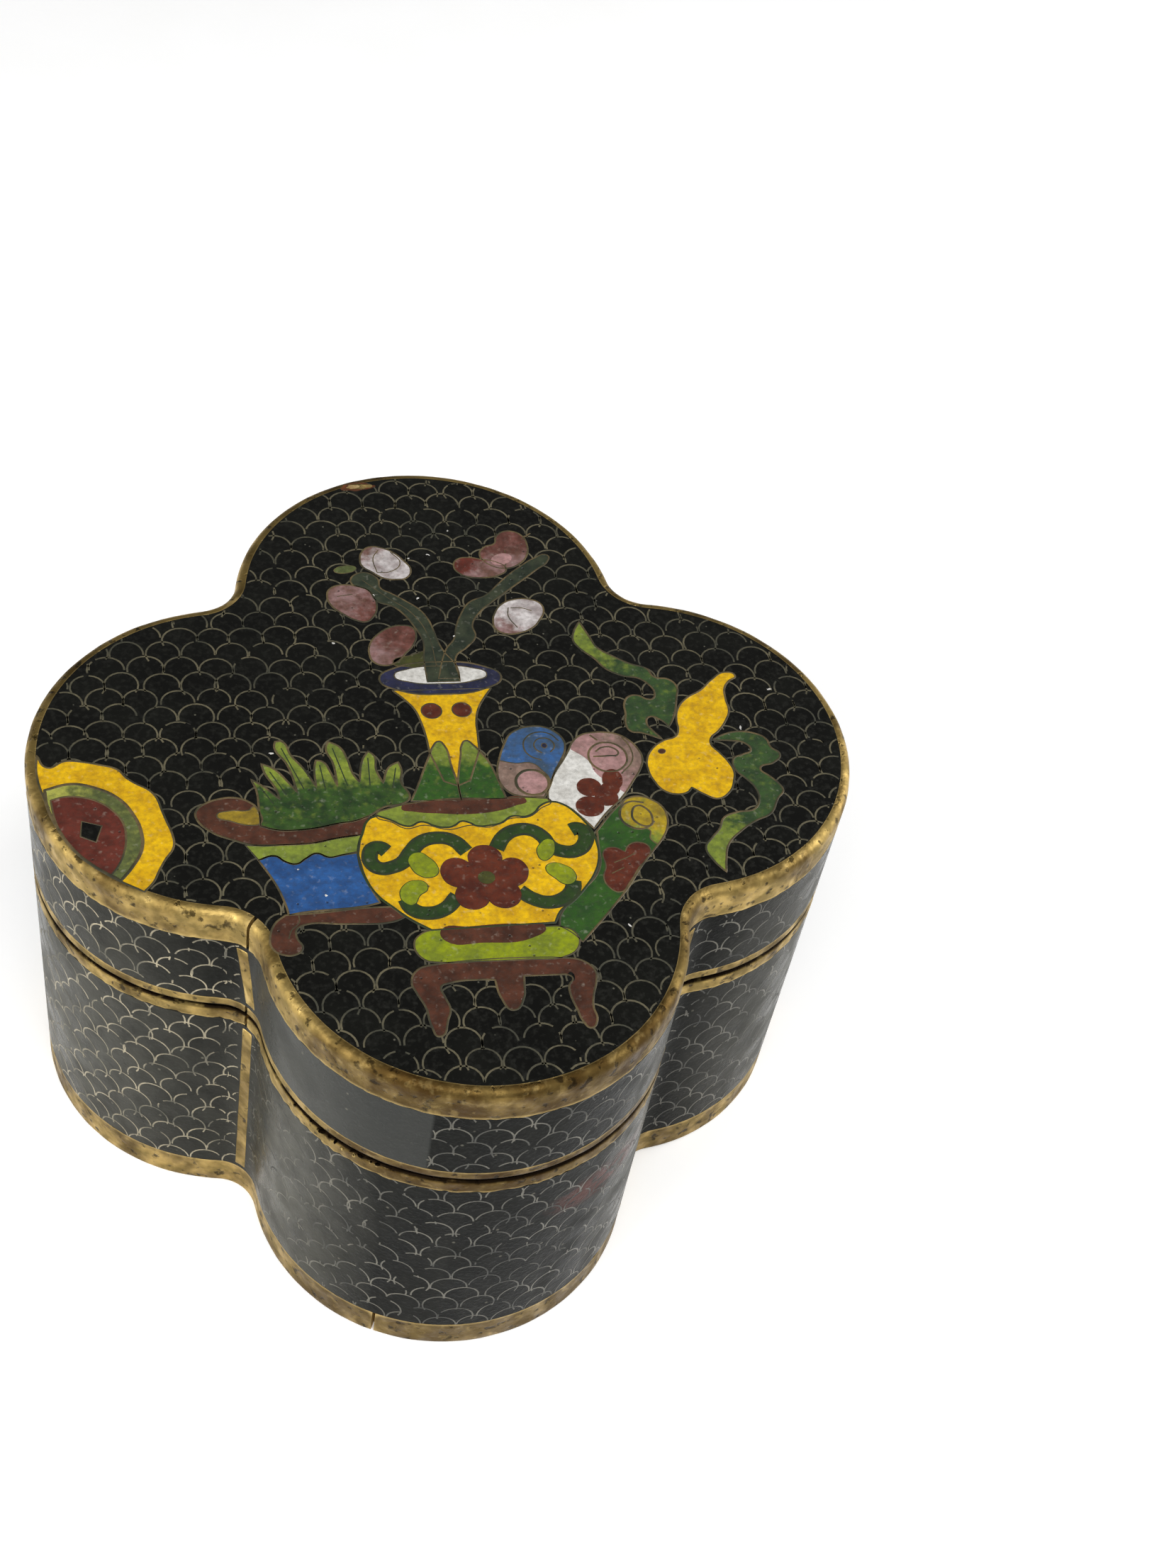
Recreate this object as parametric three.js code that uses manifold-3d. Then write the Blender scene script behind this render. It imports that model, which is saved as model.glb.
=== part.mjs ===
// A four-lobed cloisonne enamel box with a lift-off lid, in millimetres, +Z up.
// Origin: the middle of the underside, on the surface that the box stands on. The front is -Y.
import * as THREE from 'three';
import { mergeVertices } from 'three/addons/utils/BufferGeometryUtils.js';
import Module from 'manifold-3d';

const wasm = await Module();
wasm.setup();

// Outline, seen from above: four round lobes joined by four round notches
const width = 76; // over two opposite lobes
const lobeRadius = 18.6;
const notchRadius = 4;

// Heights
const height = 43;
const seamHeight = 29.7; // where the lid meets the body
const seamGap = 0.4; // the dark line that shows between the two mouth bands
const footBandHeight = 3.7;
const bodyMouthBandHeight = 1.5;
const lidMouthBandHeight = 1.2;
const topBandHeight = 3.5;

// Thicknesses, from the outside in
const skin = 1; // enamel, bands and strips
const sheet = 0.9; // the metal behind them
const edgeBevel = 0.4;
const topEdgeRadius = 0.9; // the lid's top band is rounded over its whole top

// Seams, strips and the lip that centres the lid
const stripWidth = 1.2;
const stripEndGap = 0.5;
const buttGap = 0.3; // between the two ends of a bent band
const footJointShare = 0.34; // how far along the front lobe the foot band is jointed
const lipClearance = 0.3;
const lipThickness = 0.8;
const lipRise = 3.5;
const lipDepth = 5;

// Fineness of the outline
const lobeSteps = 16;
const notchFlankSteps = 2;
const topEdgeSteps = 3;

const brass = new THREE.MeshStandardMaterial({ color: 0xa5853f, roughness: 0.38, metalness: 0.9 });
const sheetMetal = new THREE.MeshStandardMaterial({ color: 0x8f6f3c, roughness: 0.5, metalness: 0.9 });
const blackEnamel = new THREE.MeshStandardMaterial({ color: 0x14161a, roughness: 0.25, metalness: 0 });

const lobeNames = ['right', 'back', 'left', 'front'];
const notchNames = ['back_right', 'back_left', 'front_left', 'front_right'];
const frontLobe = 3;
const frontLeftNotch = 2;

// Lobe centres lie on the axes, and notch centres on the diagonals
const lobeOffset = width / 2 - lobeRadius;
const bothRadii = lobeRadius + notchRadius;
const notchOffset = (lobeOffset + Math.sqrt(2 * bothRadii ** 2 - lobeOffset ** 2)) / 2;
const halfLobe = Math.atan2(notchOffset, notchOffset - lobeOffset);
const halfNotch = halfLobe - Math.PI / 4;

function direction(angle) {
  return new THREE.Vector2(Math.cos(angle), Math.sin(angle));
}

function evenly(from, to, steps) {
  return Array.from({ length: steps + 1 }, (_, i) => from + ((to - from) * i) / steps);
}

// A station is a point of the outline with its outward normal. All walls, bands and panels run
// from station to station, so that neighbours share their corners exactly.
function lobeStations(lobe) {
  const middle = (lobe * Math.PI) / 2;
  const angles = evenly(-halfLobe, halfLobe, lobeSteps);
  if (lobe === frontLobe) {
    const joint = halfLobe * (2 * footJointShare - 1);
    const half = buttGap / 2 / lobeRadius;
    angles.push(joint - half, joint + half);
    angles.sort((a, b) => a - b);
  }
  return angles.map((angle) => {
    const normal = direction(middle + angle);
    const point = direction(middle).multiplyScalar(lobeOffset).addScaledVector(normal, lobeRadius);
    return { point, normal, lobe, angle };
  });
}

function notchStations(notch) {
  const middle = (notch * Math.PI) / 2 + Math.PI / 4;
  const strip = stripWidth / 2 / notchRadius;
  const gap = buttGap / 2 / notchRadius;
  const flank = evenly(halfNotch, strip, notchFlankSteps).slice(1);
  const turns = [...flank.map((a) => -a), -gap, gap, ...flank.reverse()];
  return turns.map((turn) => {
    const normal = direction(middle - turn);
    const centre = direction(middle).multiplyScalar(notchOffset * Math.SQRT2);
    return { point: centre.addScaledVector(normal, -notchRadius), normal, notch, turn };
  });
}

const stations = [0, 1, 2, 3].flatMap((i) => [...lobeStations(i), ...notchStations(i)]);

// The four places inside a notch where a strip or a band ends, in outline order
function notchMarks(notch) {
  const inside = stations.map((s, i) => ({ ...s, i })).filter((s) => s.notch === notch);
  const middle = inside.length / 2;
  return {
    stripStart: inside[middle - 2].i,
    gapStart: inside[middle - 1].i,
    gapEnd: inside[middle].i,
    stripEnd: inside[middle + 1].i,
  };
}

function footJoint() {
  const even = (2 * halfLobe) / lobeSteps;
  const front = stations.map((s, i) => ({ ...s, i })).filter((s) => s.lobe === frontLobe);
  const extra = front.filter((s) => {
    const step = (s.angle + halfLobe) / even;
    return Math.abs(step - Math.round(step)) > 1e-6;
  });
  return { gapStart: extra[0].i, gapEnd: extra[1].i };
}

// Station numbers from one to another, going on past the end of the list
function run(from, to) {
  const count = (to - from + stations.length) % stations.length;
  return Array.from({ length: count + 1 }, (_, i) => (from + i) % stations.length);
}

function inset(station, depth) {
  return station.point.clone().addScaledVector(station.normal, -depth);
}

// A profile of [inset, height] corners carried along the outline: a closed ring, or a length with flat ends
function alongOutline(profile, numbers = null) {
  const path = numbers ?? stations.map((_, i) => i);
  const corners = profile.length;
  const positions = path.flatMap((n) =>
    profile.flatMap(([depth, z]) => [...inset(stations[n], depth).toArray(), z])
  );
  const index = [];
  const spans = numbers ? path.length - 1 : path.length;
  for (let i = 0; i < spans; i++) {
    for (let j = 0; j < corners; j++) {
      const next = (i + 1) % path.length;
      const a = i * corners + j;
      const b = i * corners + ((j + 1) % corners);
      const c = next * corners + ((j + 1) % corners);
      const d = next * corners + j;
      index.push(a, d, b, b, d, c);
    }
  }
  if (numbers) {
    const section = profile.map(([depth, z]) => new THREE.Vector2(depth, z));
    const last = (path.length - 1) * corners;
    for (const [a, b, c] of THREE.ShapeUtils.triangulateShape(section, [])) {
      index.push(a, c, b, last + a, last + b, last + c);
    }
  }
  const geometry = new THREE.BufferGeometry();
  geometry.setAttribute('position', new THREE.Float32BufferAttribute(positions, 3));
  geometry.setIndex(index);
  return geometry;
}

// A flat slab of the outline's shape
function slab(depth, bottom, top) {
  const shape = new THREE.Shape(stations.map((s) => inset(s, depth)));
  const geometry = new THREE.ExtrudeGeometry(shape, { depth: top - bottom, bevelEnabled: false });
  return geometry.translate(0, 0, bottom);
}

function solid(geometry) {
  const bare = geometry.clone();
  bare.deleteAttribute('normal');
  bare.deleteAttribute('uv');
  const merged = mergeVertices(bare, 1e-4);
  return new wasm.Manifold(
    new wasm.Mesh({
      numProp: 3,
      vertProperties: merged.attributes.position.array,
      triVerts: new Uint32Array(merged.index.array),
    })
  );
}

function geometryOf(manifold) {
  const mesh = manifold.getMesh();
  const geometry = new THREE.BufferGeometry();
  geometry.setAttribute('position', new THREE.BufferAttribute(mesh.vertProperties, 3));
  geometry.setIndex(new THREE.BufferAttribute(mesh.triVerts, 1));
  return geometry;
}

const box = new THREE.Group();

function add(name, geometry, material) {
  const mesh = new THREE.Mesh(geometry, material);
  mesh.name = name;
  box.add(mesh);
}

// Section of a bent band: flat, with its free outer edge eased
function bandSection(bottom, top, easedEdge) {
  return easedEdge === 'top'
    ? [[0, bottom], [0, top - edgeBevel], [edgeBevel, top], [skin, top], [skin, bottom]]
    : [[edgeBevel, bottom], [0, bottom + edgeBevel], [0, top], [skin, top], [skin, bottom]];
}

function panelSection(bottom, top) {
  return [[0, bottom], [0, top], [skin, top], [skin, bottom]];
}

// Enamel between two notches, and the strip that closes each notch
function addPanels(part, bottom, top) {
  lobeNames.forEach((name, lobe) => {
    const before = notchMarks((lobe + 3) % 4).stripEnd;
    const after = notchMarks(lobe).stripStart;
    add(`${part}_enamel_${name}`, alongOutline(panelSection(bottom, top), run(before, after)), blackEnamel);
  });
  notchNames.forEach((name, notch) => {
    const { stripStart, stripEnd } = notchMarks(notch);
    const section = panelSection(bottom + stripEndGap, top - stripEndGap);
    add(`${part}_notch_strip_${name}`, alongOutline(section, run(stripStart, stripEnd)), brass);
  });
}

// Each band is one strip bent right round. The foot band is jointed on the front lobe, and the
// other three in the front left notch.
const bandJoint = notchMarks(frontLeftNotch);
const onceRound = run(bandJoint.gapEnd, bandJoint.gapStart);
const wallInset = skin + sheet;

// Body: floor, wall and the lip inside its mouth in one
const floorTop = skin + sheet;
const bodyMouthBandBottom = seamHeight - seamGap / 2 - bodyMouthBandHeight;
const lipOuter = wallInset + lipClearance;
const lipInner = lipOuter + lipThickness;
const lipTop = seamHeight + lipRise;
const lipSection = [
  [skin + sheet / 2, seamHeight - lipDepth],
  [skin + sheet / 2, seamHeight],
  [lipOuter, seamHeight],
  [lipOuter, lipTop - edgeBevel],
  [lipOuter + edgeBevel, lipTop],
  [lipInner, lipTop],
  [lipInner, seamHeight - lipDepth],
];
const bodyShell = solid(slab(skin, 0, seamHeight))
  .subtract(solid(slab(wallInset, floorTop, height)))
  .add(solid(alongOutline(lipSection)));
add('body_shell', geometryOf(bodyShell), sheetMetal);
const footEnds = footJoint();
const footSection = bandSection(0, footBandHeight, 'bottom');
add('foot_band', alongOutline(footSection, run(footEnds.gapEnd, footEnds.gapStart)), brass);
addPanels('body', footBandHeight, bodyMouthBandBottom);
const bodyMouthSection = bandSection(bodyMouthBandBottom, seamHeight - seamGap / 2, 'top');
add('body_mouth_band', alongOutline(bodyMouthSection, onceRound), brass);

// Lid
const lidMouthBottom = seamHeight + seamGap / 2;
const lidMouthTop = lidMouthBottom + lidMouthBandHeight;
const topBandBottom = height - topBandHeight;
const roofTop = height - skin;
const lidShell = solid(slab(skin, seamHeight, roofTop))
  .subtract(solid(slab(wallInset, 0, roofTop - sheet)));
add('lid_shell', geometryOf(lidShell), sheetMetal);
add('lid_mouth_band', alongOutline(bandSection(lidMouthBottom, lidMouthTop, 'bottom'), onceRound), brass);
addPanels('lid', lidMouthTop, topBandBottom);
const topEdge = evenly(0, Math.PI / 2, topEdgeSteps).map((angle) => [
  topEdgeRadius * (1 - Math.cos(angle)),
  height - topEdgeRadius * (1 - Math.sin(angle)),
]);
const topBandSection = [[0, topBandBottom], ...topEdge, [skin, height], [skin, topBandBottom]];
add('lid_top_band', alongOutline(topBandSection, onceRound), brass);
add('lid_top_enamel', slab(skin, roofTop, height), blackEnamel);

export default box;
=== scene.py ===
import math
import random

import bpy
from mathutils import Matrix, Vector
from mathutils import noise as patchNoise


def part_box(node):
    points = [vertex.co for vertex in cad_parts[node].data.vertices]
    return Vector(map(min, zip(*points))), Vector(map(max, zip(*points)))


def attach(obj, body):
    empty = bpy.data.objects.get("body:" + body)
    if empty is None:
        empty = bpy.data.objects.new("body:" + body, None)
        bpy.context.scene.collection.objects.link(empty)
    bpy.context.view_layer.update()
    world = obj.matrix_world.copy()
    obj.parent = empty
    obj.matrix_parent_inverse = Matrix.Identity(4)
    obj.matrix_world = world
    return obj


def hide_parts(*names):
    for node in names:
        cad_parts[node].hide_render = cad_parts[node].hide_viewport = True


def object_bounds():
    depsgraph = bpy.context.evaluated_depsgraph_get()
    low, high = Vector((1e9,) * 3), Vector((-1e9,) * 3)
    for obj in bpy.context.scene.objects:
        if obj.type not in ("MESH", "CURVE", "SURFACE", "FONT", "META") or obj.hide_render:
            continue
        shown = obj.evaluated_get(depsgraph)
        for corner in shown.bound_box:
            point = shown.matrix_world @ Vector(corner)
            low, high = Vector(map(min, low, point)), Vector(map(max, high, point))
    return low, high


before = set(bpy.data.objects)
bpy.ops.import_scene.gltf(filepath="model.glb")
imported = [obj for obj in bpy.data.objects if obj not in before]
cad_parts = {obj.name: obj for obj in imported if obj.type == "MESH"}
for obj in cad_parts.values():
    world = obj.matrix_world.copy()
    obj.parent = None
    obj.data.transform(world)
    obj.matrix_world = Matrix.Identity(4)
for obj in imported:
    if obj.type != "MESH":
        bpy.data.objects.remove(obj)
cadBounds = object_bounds()
mm = 0.001
rng = random.Random(7)
print("frame loaded")


# camera, seen from above the front lobe, a little to the left

cameraSetup = {
    "azimuth": -12.27,  # degrees
    "elevation": 51.42,
    "distance": 210.7 * mm,
    "roll": 7.12,
    "yaw": -4.2,
    "pitch": 2.87,
    "lens": 48.5,
}


def placeCamera(setup):
    azimuth = math.radians(setup["azimuth"])
    elevation = math.radians(setup["elevation"])
    level = math.cos(elevation)
    back = Vector((math.sin(azimuth) * level, -math.cos(azimuth) * level, math.sin(elevation)))
    right = Vector((math.cos(azimuth), math.sin(azimuth), 0))
    upright = Matrix((right, back.cross(right), back)).transposed()
    roll = Matrix.Rotation(math.radians(setup["roll"]), 3, "Z")
    yaw = Matrix.Rotation(math.radians(setup["yaw"]), 3, "Y")
    pitch = Matrix.Rotation(math.radians(setup["pitch"]), 3, "X")
    aimedAt = (cadBounds[0] + cadBounds[1]) / 2
    bpy.ops.object.camera_add()
    camera = bpy.context.object
    camera.name = "view_camera"
    camera.data.lens = setup["lens"]
    camera.data.clip_start = 5 * mm
    turned = upright @ roll @ yaw @ pitch
    camera.matrix_world = Matrix.Translation(aimedAt + back * setup["distance"]) @ turned.to_4x4()
    bpy.context.scene.camera = camera


placeCamera(cameraSetup)
print("camera placed")


# small helpers

def deselectAll():
    if bpy.context.object and bpy.context.object.mode == "EDIT":
        bpy.ops.object.mode_set(mode="OBJECT")
    bpy.ops.object.select_all(action="DESELECT")


def pick(piece):
    deselectAll()
    piece.select_set(True)
    bpy.context.view_layer.objects.active = piece


def editAll(piece):
    pick(piece)
    bpy.ops.object.mode_set(mode="EDIT")
    bpy.ops.mesh.select_all(action="SELECT")


def selectVertices(piece, test):
    pick(piece)
    bpy.ops.object.mode_set(mode="EDIT")
    bpy.ops.mesh.select_mode(type="VERT")
    bpy.ops.mesh.select_all(action="DESELECT")
    bpy.ops.object.mode_set(mode="OBJECT")
    for vertex in piece.data.vertices:
        vertex.select = test(vertex.co)
    bpy.ops.object.mode_set(mode="EDIT")


def turnFacesOut(piece):
    editAll(piece)
    bpy.ops.mesh.remove_doubles(threshold=0.002 * mm)
    bpy.ops.mesh.normals_make_consistent(inside=False)
    bpy.ops.object.mode_set(mode="OBJECT")


def smoothFaces(piece, degrees=35):
    pick(piece)
    bpy.ops.object.shade_smooth_by_angle(angle=math.radians(degrees))


def applyPlace(piece):
    pick(piece)
    bpy.ops.object.transform_apply(location=True, rotation=True, scale=True)


def joinPieces(name, pieces):
    deselectAll()
    for piece in pieces:
        piece.select_set(True)
    bpy.context.view_layer.objects.active = pieces[0]
    if len(pieces) > 1:
        bpy.ops.object.join()
    joined = bpy.context.object
    joined.name = name
    joined.data.name = name
    return joined


def dress(piece, material):
    piece.data.materials.clear()
    piece.data.materials.append(material)


def finishPiece(piece, slot, *nodes):
    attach(piece, "root")
    if nodes:
        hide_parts(*nodes)


# the four-lobed outline, measured by the distance along it from the front left notch

outline = {
    "lobeRadius": 18.6 * mm,
    "notchRadius": 4 * mm,
    "skin": 1 * mm,  # thickness of enamel, bands and strips
    "joint": 0.3 * mm,  # open joint in each bent band
    "footJointShare": 0.34,  # how far along the front lobe the foot band is jointed
    "step": 0.55 * mm,
}
lobeRadius = outline["lobeRadius"]
notchRadius = outline["notchRadius"]
skin = outline["skin"]
lobeOffset = cadBounds[1].x - lobeRadius
bothRadii = lobeRadius + notchRadius
notchOffset = (lobeOffset + math.sqrt(2 * bothRadii ** 2 - lobeOffset ** 2)) / 2
halfLobe = math.atan2(notchOffset, notchOffset - lobeOffset)
halfNotch = halfLobe - math.pi / 4
lobeLength = 2 * halfLobe * lobeRadius
notchLength = 2 * halfNotch * notchRadius
quarterLength = lobeLength + notchLength
fullLength = 4 * quarterLength


def direction(angle):
    return Vector((math.cos(angle), math.sin(angle), 0))


def outlineArcs():
    # start, length, centre, radius and first angle of each arc, with a negative radius for a notch
    notchHalf = notchLength / 2
    notchDistance = notchOffset * math.sqrt(2)
    found = []
    for quarter in range(-1, 6):
        start = quarter * quarterLength
        middle = math.radians(270 + 90 * quarter)
        before = middle - math.pi / 4
        after = middle + math.pi / 4
        lobeStart = start + notchHalf
        lobeEnd = lobeStart + lobeLength
        lobeCentre = direction(middle) * lobeOffset
        notchBefore = direction(before) * notchDistance
        notchAfter = direction(after) * notchDistance
        found.append((start, notchHalf, notchBefore, -notchRadius, before))
        found.append((lobeStart, lobeLength, lobeCentre, lobeRadius, middle - halfLobe))
        found.append((lobeEnd, notchHalf, notchAfter, -notchRadius, after + halfNotch))
    return found


arcs = outlineArcs()


def outlineAt(distance, inset=0):
    for start, length, centre, radius, angle in arcs:
        if distance <= start + length:
            break
    outward = direction(angle + (distance - start) / radius)
    return centre + outward * (radius - inset), outward


def insetAt(x, y):
    # how far inside the outline a point of the top is
    across, along = sorted((abs(x), abs(y)))
    spot = Vector((along, across, 0))
    fromLobe = spot - Vector((lobeOffset, 0, 0))
    if math.atan2(fromLobe.y, fromLobe.x) <= halfLobe:
        return lobeRadius - fromLobe.length
    return (spot - Vector((notchOffset, notchOffset, 0))).length - notchRadius


def startSection(name, distance, bottom, top, depth, inset=0):
    # an upright plane across the outline, with its first side at the inset
    spot, outward = outlineAt(distance, inset + depth / 2)
    deselectAll()
    bpy.ops.mesh.primitive_plane_add(size=1, rotation=(math.pi / 2, 0, math.atan2(outward.y, outward.x)))
    piece = bpy.context.object
    piece.name = name
    piece.location = (spot.x, spot.y, (bottom + top) / 2)
    piece.scale = (depth, top - bottom, 1)
    applyPlace(piece)
    return piece


def roundCorner(piece, distance, height, radius, segments):
    # rounds the outer corner of a section at that height
    corner = outlineAt(distance)[0]
    corner.z = height
    selectVertices(piece, lambda co: (co - corner).length < 0.05 * mm)
    bpy.ops.mesh.bevel(offset=radius, segments=segments, affect="VERTICES")
    bpy.ops.object.mode_set(mode="OBJECT")


def cutSide(piece, distance, cuts):
    # cuts across the outer side of a section, so that its face can be uneven
    spot, outward = outlineAt(distance)
    selectVertices(piece, lambda co: (co - spot).dot(outward) > -0.01 * mm)
    bpy.ops.mesh.subdivide(number_cuts=cuts)
    bpy.ops.object.mode_set(mode="OBJECT")


def carryAlong(piece, first, last, step=outline["step"]):
    # spins the section round each lobe and notch centre in turn
    editAll(piece)
    for start, length, centre, radius, _ in arcs:
        begin = max(first, start)
        end = min(last, start + length)
        if end - begin > 0.001 * mm:
            count = max(2, math.ceil((end - begin) / step))
            turn = -(end - begin) / radius  # spin turns clockwise
            bpy.ops.mesh.spin(steps=count, angle=turn, center=centre, axis=(0, 0, 1))
    bpy.ops.object.mode_set(mode="OBJECT")
    turnFacesOut(piece)


def wrapOnOutline(piece):
    # a flat sheet, x along the outline and y up, is laid on the upright sides
    for vertex in piece.data.vertices:
        spot = outlineAt(vertex.co.x, -vertex.co.z)[0]
        vertex.co = (spot.x, spot.y, vertex.co.y)


def makeUneven(piece, depth, size):
    # soft dents, up to half the depth in and out
    clouds = bpy.data.textures.new(piece.name + "_clouds", "CLOUDS")
    clouds.noise_scale = size
    clouds.noise_depth = 2
    pick(piece)
    bpy.ops.object.modifier_add(type="DISPLACE")
    bumps = piece.modifiers[-1]
    bumps.texture = clouds
    bumps.strength = depth
    bumps.mid_level = 0.5
    bpy.ops.object.modifier_apply(modifier=bumps.name)


def roughenEdge(piece, height, amount, seed):
    selectVertices(piece, lambda co: abs(co.z - height) < 0.12 * mm)
    bpy.ops.transform.vertex_random(offset=amount, seed=seed)
    bpy.ops.object.mode_set(mode="OBJECT")


# finishes

def tone(red, green, blue):
    # a colour as it is seen, 0 to 255, as the shader takes it
    parts = []
    for value in (red, green, blue):
        share = value / 255
        parts.append(share / 12.92 if share <= 0.04045 else ((share + 0.055) / 1.055) ** 2.4)
    return (*parts, 1)


def newFinish(name, roughness):
    material = bpy.data.materials.new(name)
    material.use_nodes = True
    shader = material.node_tree.nodes["Principled BSDF"]
    shader.inputs["Roughness"].default_value = roughness
    return material, shader


def addNode(material, kind, **values):
    made = material.node_tree.nodes.new("ShaderNode" + kind)
    for socket, value in values.items():
        made.inputs[socket.replace("_", " ")].default_value = value
    return made


def connect(material, source, target):
    material.node_tree.links.new(source, target)


def place(material, stretch=(1, 1, 1)):
    coordinates = addNode(material, "TexCoord")
    mapping = addNode(material, "Mapping", Scale=stretch)
    connect(material, coordinates.outputs["Object"], mapping.inputs["Vector"])
    return mapping.outputs["Vector"]


def steeper(material, source, low, high):
    # 0 at the low value and 1 at the high one
    limits = addNode(material, "MapRange", From_Min=low, From_Max=high)
    connect(material, source, limits.inputs["Value"])
    return limits.outputs[0]


def noise(material, where, scale, low=0.0, high=1.0, detail=4):
    # a cloudy pattern from 0 to 1, sharper as low and high come together
    clouds = addNode(material, "TexNoise", Scale=scale, Detail=detail)
    connect(material, where, clouds.inputs["Vector"])
    return steeper(material, clouds.outputs[0], low, high)


def specks(material, where, scale, size):
    # small round spots, 1 inside and 0 outside
    cells = addNode(material, "TexVoronoi", Scale=scale)
    connect(material, where, cells.inputs["Vector"])
    return steeper(material, cells.outputs["Distance"], size, size * 0.5)


def rampAlong(material, axis, low, high):
    # 0 to 1 as a coordinate goes from low to high
    coordinates = addNode(material, "TexCoord")
    parts = addNode(material, "SeparateXYZ")
    connect(material, coordinates.outputs["Object"], parts.inputs["Vector"])
    return steeper(material, parts.outputs[axis], low, high)


def mixed(material, factor, first, second):
    mix = addNode(material, "Mix")
    mix.data_type = "RGBA"
    if isinstance(factor, float):
        mix.inputs[0].default_value = factor
    else:
        connect(material, factor, mix.inputs[0])
    for source, socket in ((first, mix.inputs[6]), (second, mix.inputs[7])):
        if isinstance(source, tuple):
            socket.default_value = source
        else:
            connect(material, source, socket)
    return mix.outputs[2]


def times(material, first, second):
    product = addNode(material, "Math")
    product.operation = "MULTIPLY"
    connect(material, first, product.inputs[0])
    if isinstance(second, float):
        product.inputs[1].default_value = second
    else:
        connect(material, second, product.inputs[1])
    return product.outputs[0]


def between(material, source, low, high):
    limits = addNode(material, "MapRange", To_Min=low, To_Max=high)
    connect(material, source, limits.inputs["Value"])
    return limits.outputs[0]


def bump(material, source, depth, below=None):
    raised = addNode(material, "Bump", Strength=1.0, Distance=depth)
    connect(material, source, raised.inputs["Height"])
    if below:
        connect(material, below, raised.inputs["Normal"])
    return raised.outputs["Normal"]


def nearSeam(material, below, above, fade):
    # 1 beside the seam between body and lid, and 0 from that far below and above it
    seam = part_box("lid_shell")[0].z
    rising = rampAlong(material, "Z", seam - below, seam - below + fade)
    falling = rampAlong(material, "Z", seam + above, seam + above - fade)
    return times(material, rising, falling)


def spotMask(material, centre, reach):
    # 1 in the middle of an egg-shaped place, and 0 at its edge
    coordinates = addNode(material, "TexCoord")
    mapping = addNode(material, "Mapping", Location=centre, Scale=reach)
    mapping.vector_type = "TEXTURE"
    ball = addNode(material, "TexGradient")
    ball.gradient_type = "SPHERICAL"
    connect(material, coordinates.outputs["Object"], mapping.inputs["Vector"])
    connect(material, mapping.outputs["Vector"], ball.inputs["Vector"])
    return ball.outputs["Fac"]


enamelColours = {
    "yellow": ((226, 180, 14), (196, 150, 16)),
    "spiralYellow": ((176, 150, 34), (136, 114, 36)),
    "wedgeYellow": ((150, 126, 38), (116, 96, 34)),
    "lime": ((128, 142, 52), (102, 116, 48)),
    "saucerLime": ((136, 148, 22), (112, 124, 34)),
    "paleLime": ((164, 164, 76), (142, 146, 66)),
    "ringGreen": ((98, 106, 58), (76, 84, 48)),
    "green": ((50, 86, 30), (38, 70, 30)),
    "grassGreen": ((56, 84, 34), (34, 56, 28)),
    "scrollGreen": ((46, 68, 28), (34, 54, 28)),
    "ribbonGreen": ((56, 80, 42), (42, 62, 36)),
    "branchGreen": ((56, 62, 46), (36, 44, 34)),
    "blue": ((44, 88, 146), (36, 70, 118)),
    "scrollBlue": ((54, 92, 142), (58, 78, 100)),
    "navy": ((42, 44, 72), (30, 32, 48)),
    "white": ((220, 218, 212), (194, 191, 184)),
    "budWhite": ((208, 202, 200), (160, 150, 148)),
    "pink": ((172, 132, 130), (146, 112, 108)),
    "mauve": ((138, 114, 102), (108, 88, 78)),
    "budPink": ((142, 112, 110), (104, 74, 64)),
    "budRed": ((112, 70, 62), (80, 46, 38)),
    "red": ((100, 46, 36), (78, 34, 26)),
    "petalRed": ((98, 46, 30), (74, 32, 22)),
    "woodRed": ((86, 50, 36), (62, 36, 26)),
    "flowerCentre": ((72, 74, 34), (54, 56, 28)),
    "cream": ((196, 176, 128), (150, 120, 76)),
    "rust": ((112, 60, 30), (76, 44, 26)),
}
enamelLook = {
    "roughness": (0.22, 0.5),
    "grain": 2300,
    "grainDepth": 0.3,
    "mottle": 800,
    "pits": 0.1,
    "wave": 0.06 * mm,
}


def blendAlong(material, where, blendFrom, blendTo):
    # 0 to 1 on the way from one point of the picture to another, with a ragged front
    start = Vector((*blendFrom, 0)) * mm
    reach = Vector((*blendTo, 0)) * mm - start
    coordinates = addNode(material, "TexCoord")
    mapping = addNode(material, "Mapping", Location=start, Scale=(reach.length, reach.length, 1))
    mapping.vector_type = "TEXTURE"
    mapping.inputs["Rotation"].default_value = (0, 0, math.atan2(reach.y, reach.x))
    ramp = addNode(material, "TexGradient")
    ragged = addNode(material, "Math")
    ragged.operation = "ADD"
    stray = between(material, noise(material, where, 1400, 0.3, 0.7), -0.4, 0.4)
    blend = addNode(material, "MapRange")
    blend.interpolation_type = "SMOOTHSTEP"
    connect(material, coordinates.outputs["Object"], mapping.inputs["Vector"])
    connect(material, mapping.outputs["Vector"], ramp.inputs["Vector"])
    connect(material, ramp.outputs["Fac"], ragged.inputs[0])
    connect(material, stray, ragged.inputs[1])
    connect(material, ragged.outputs[0], blend.inputs["Value"])
    return blend.outputs[0]


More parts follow.
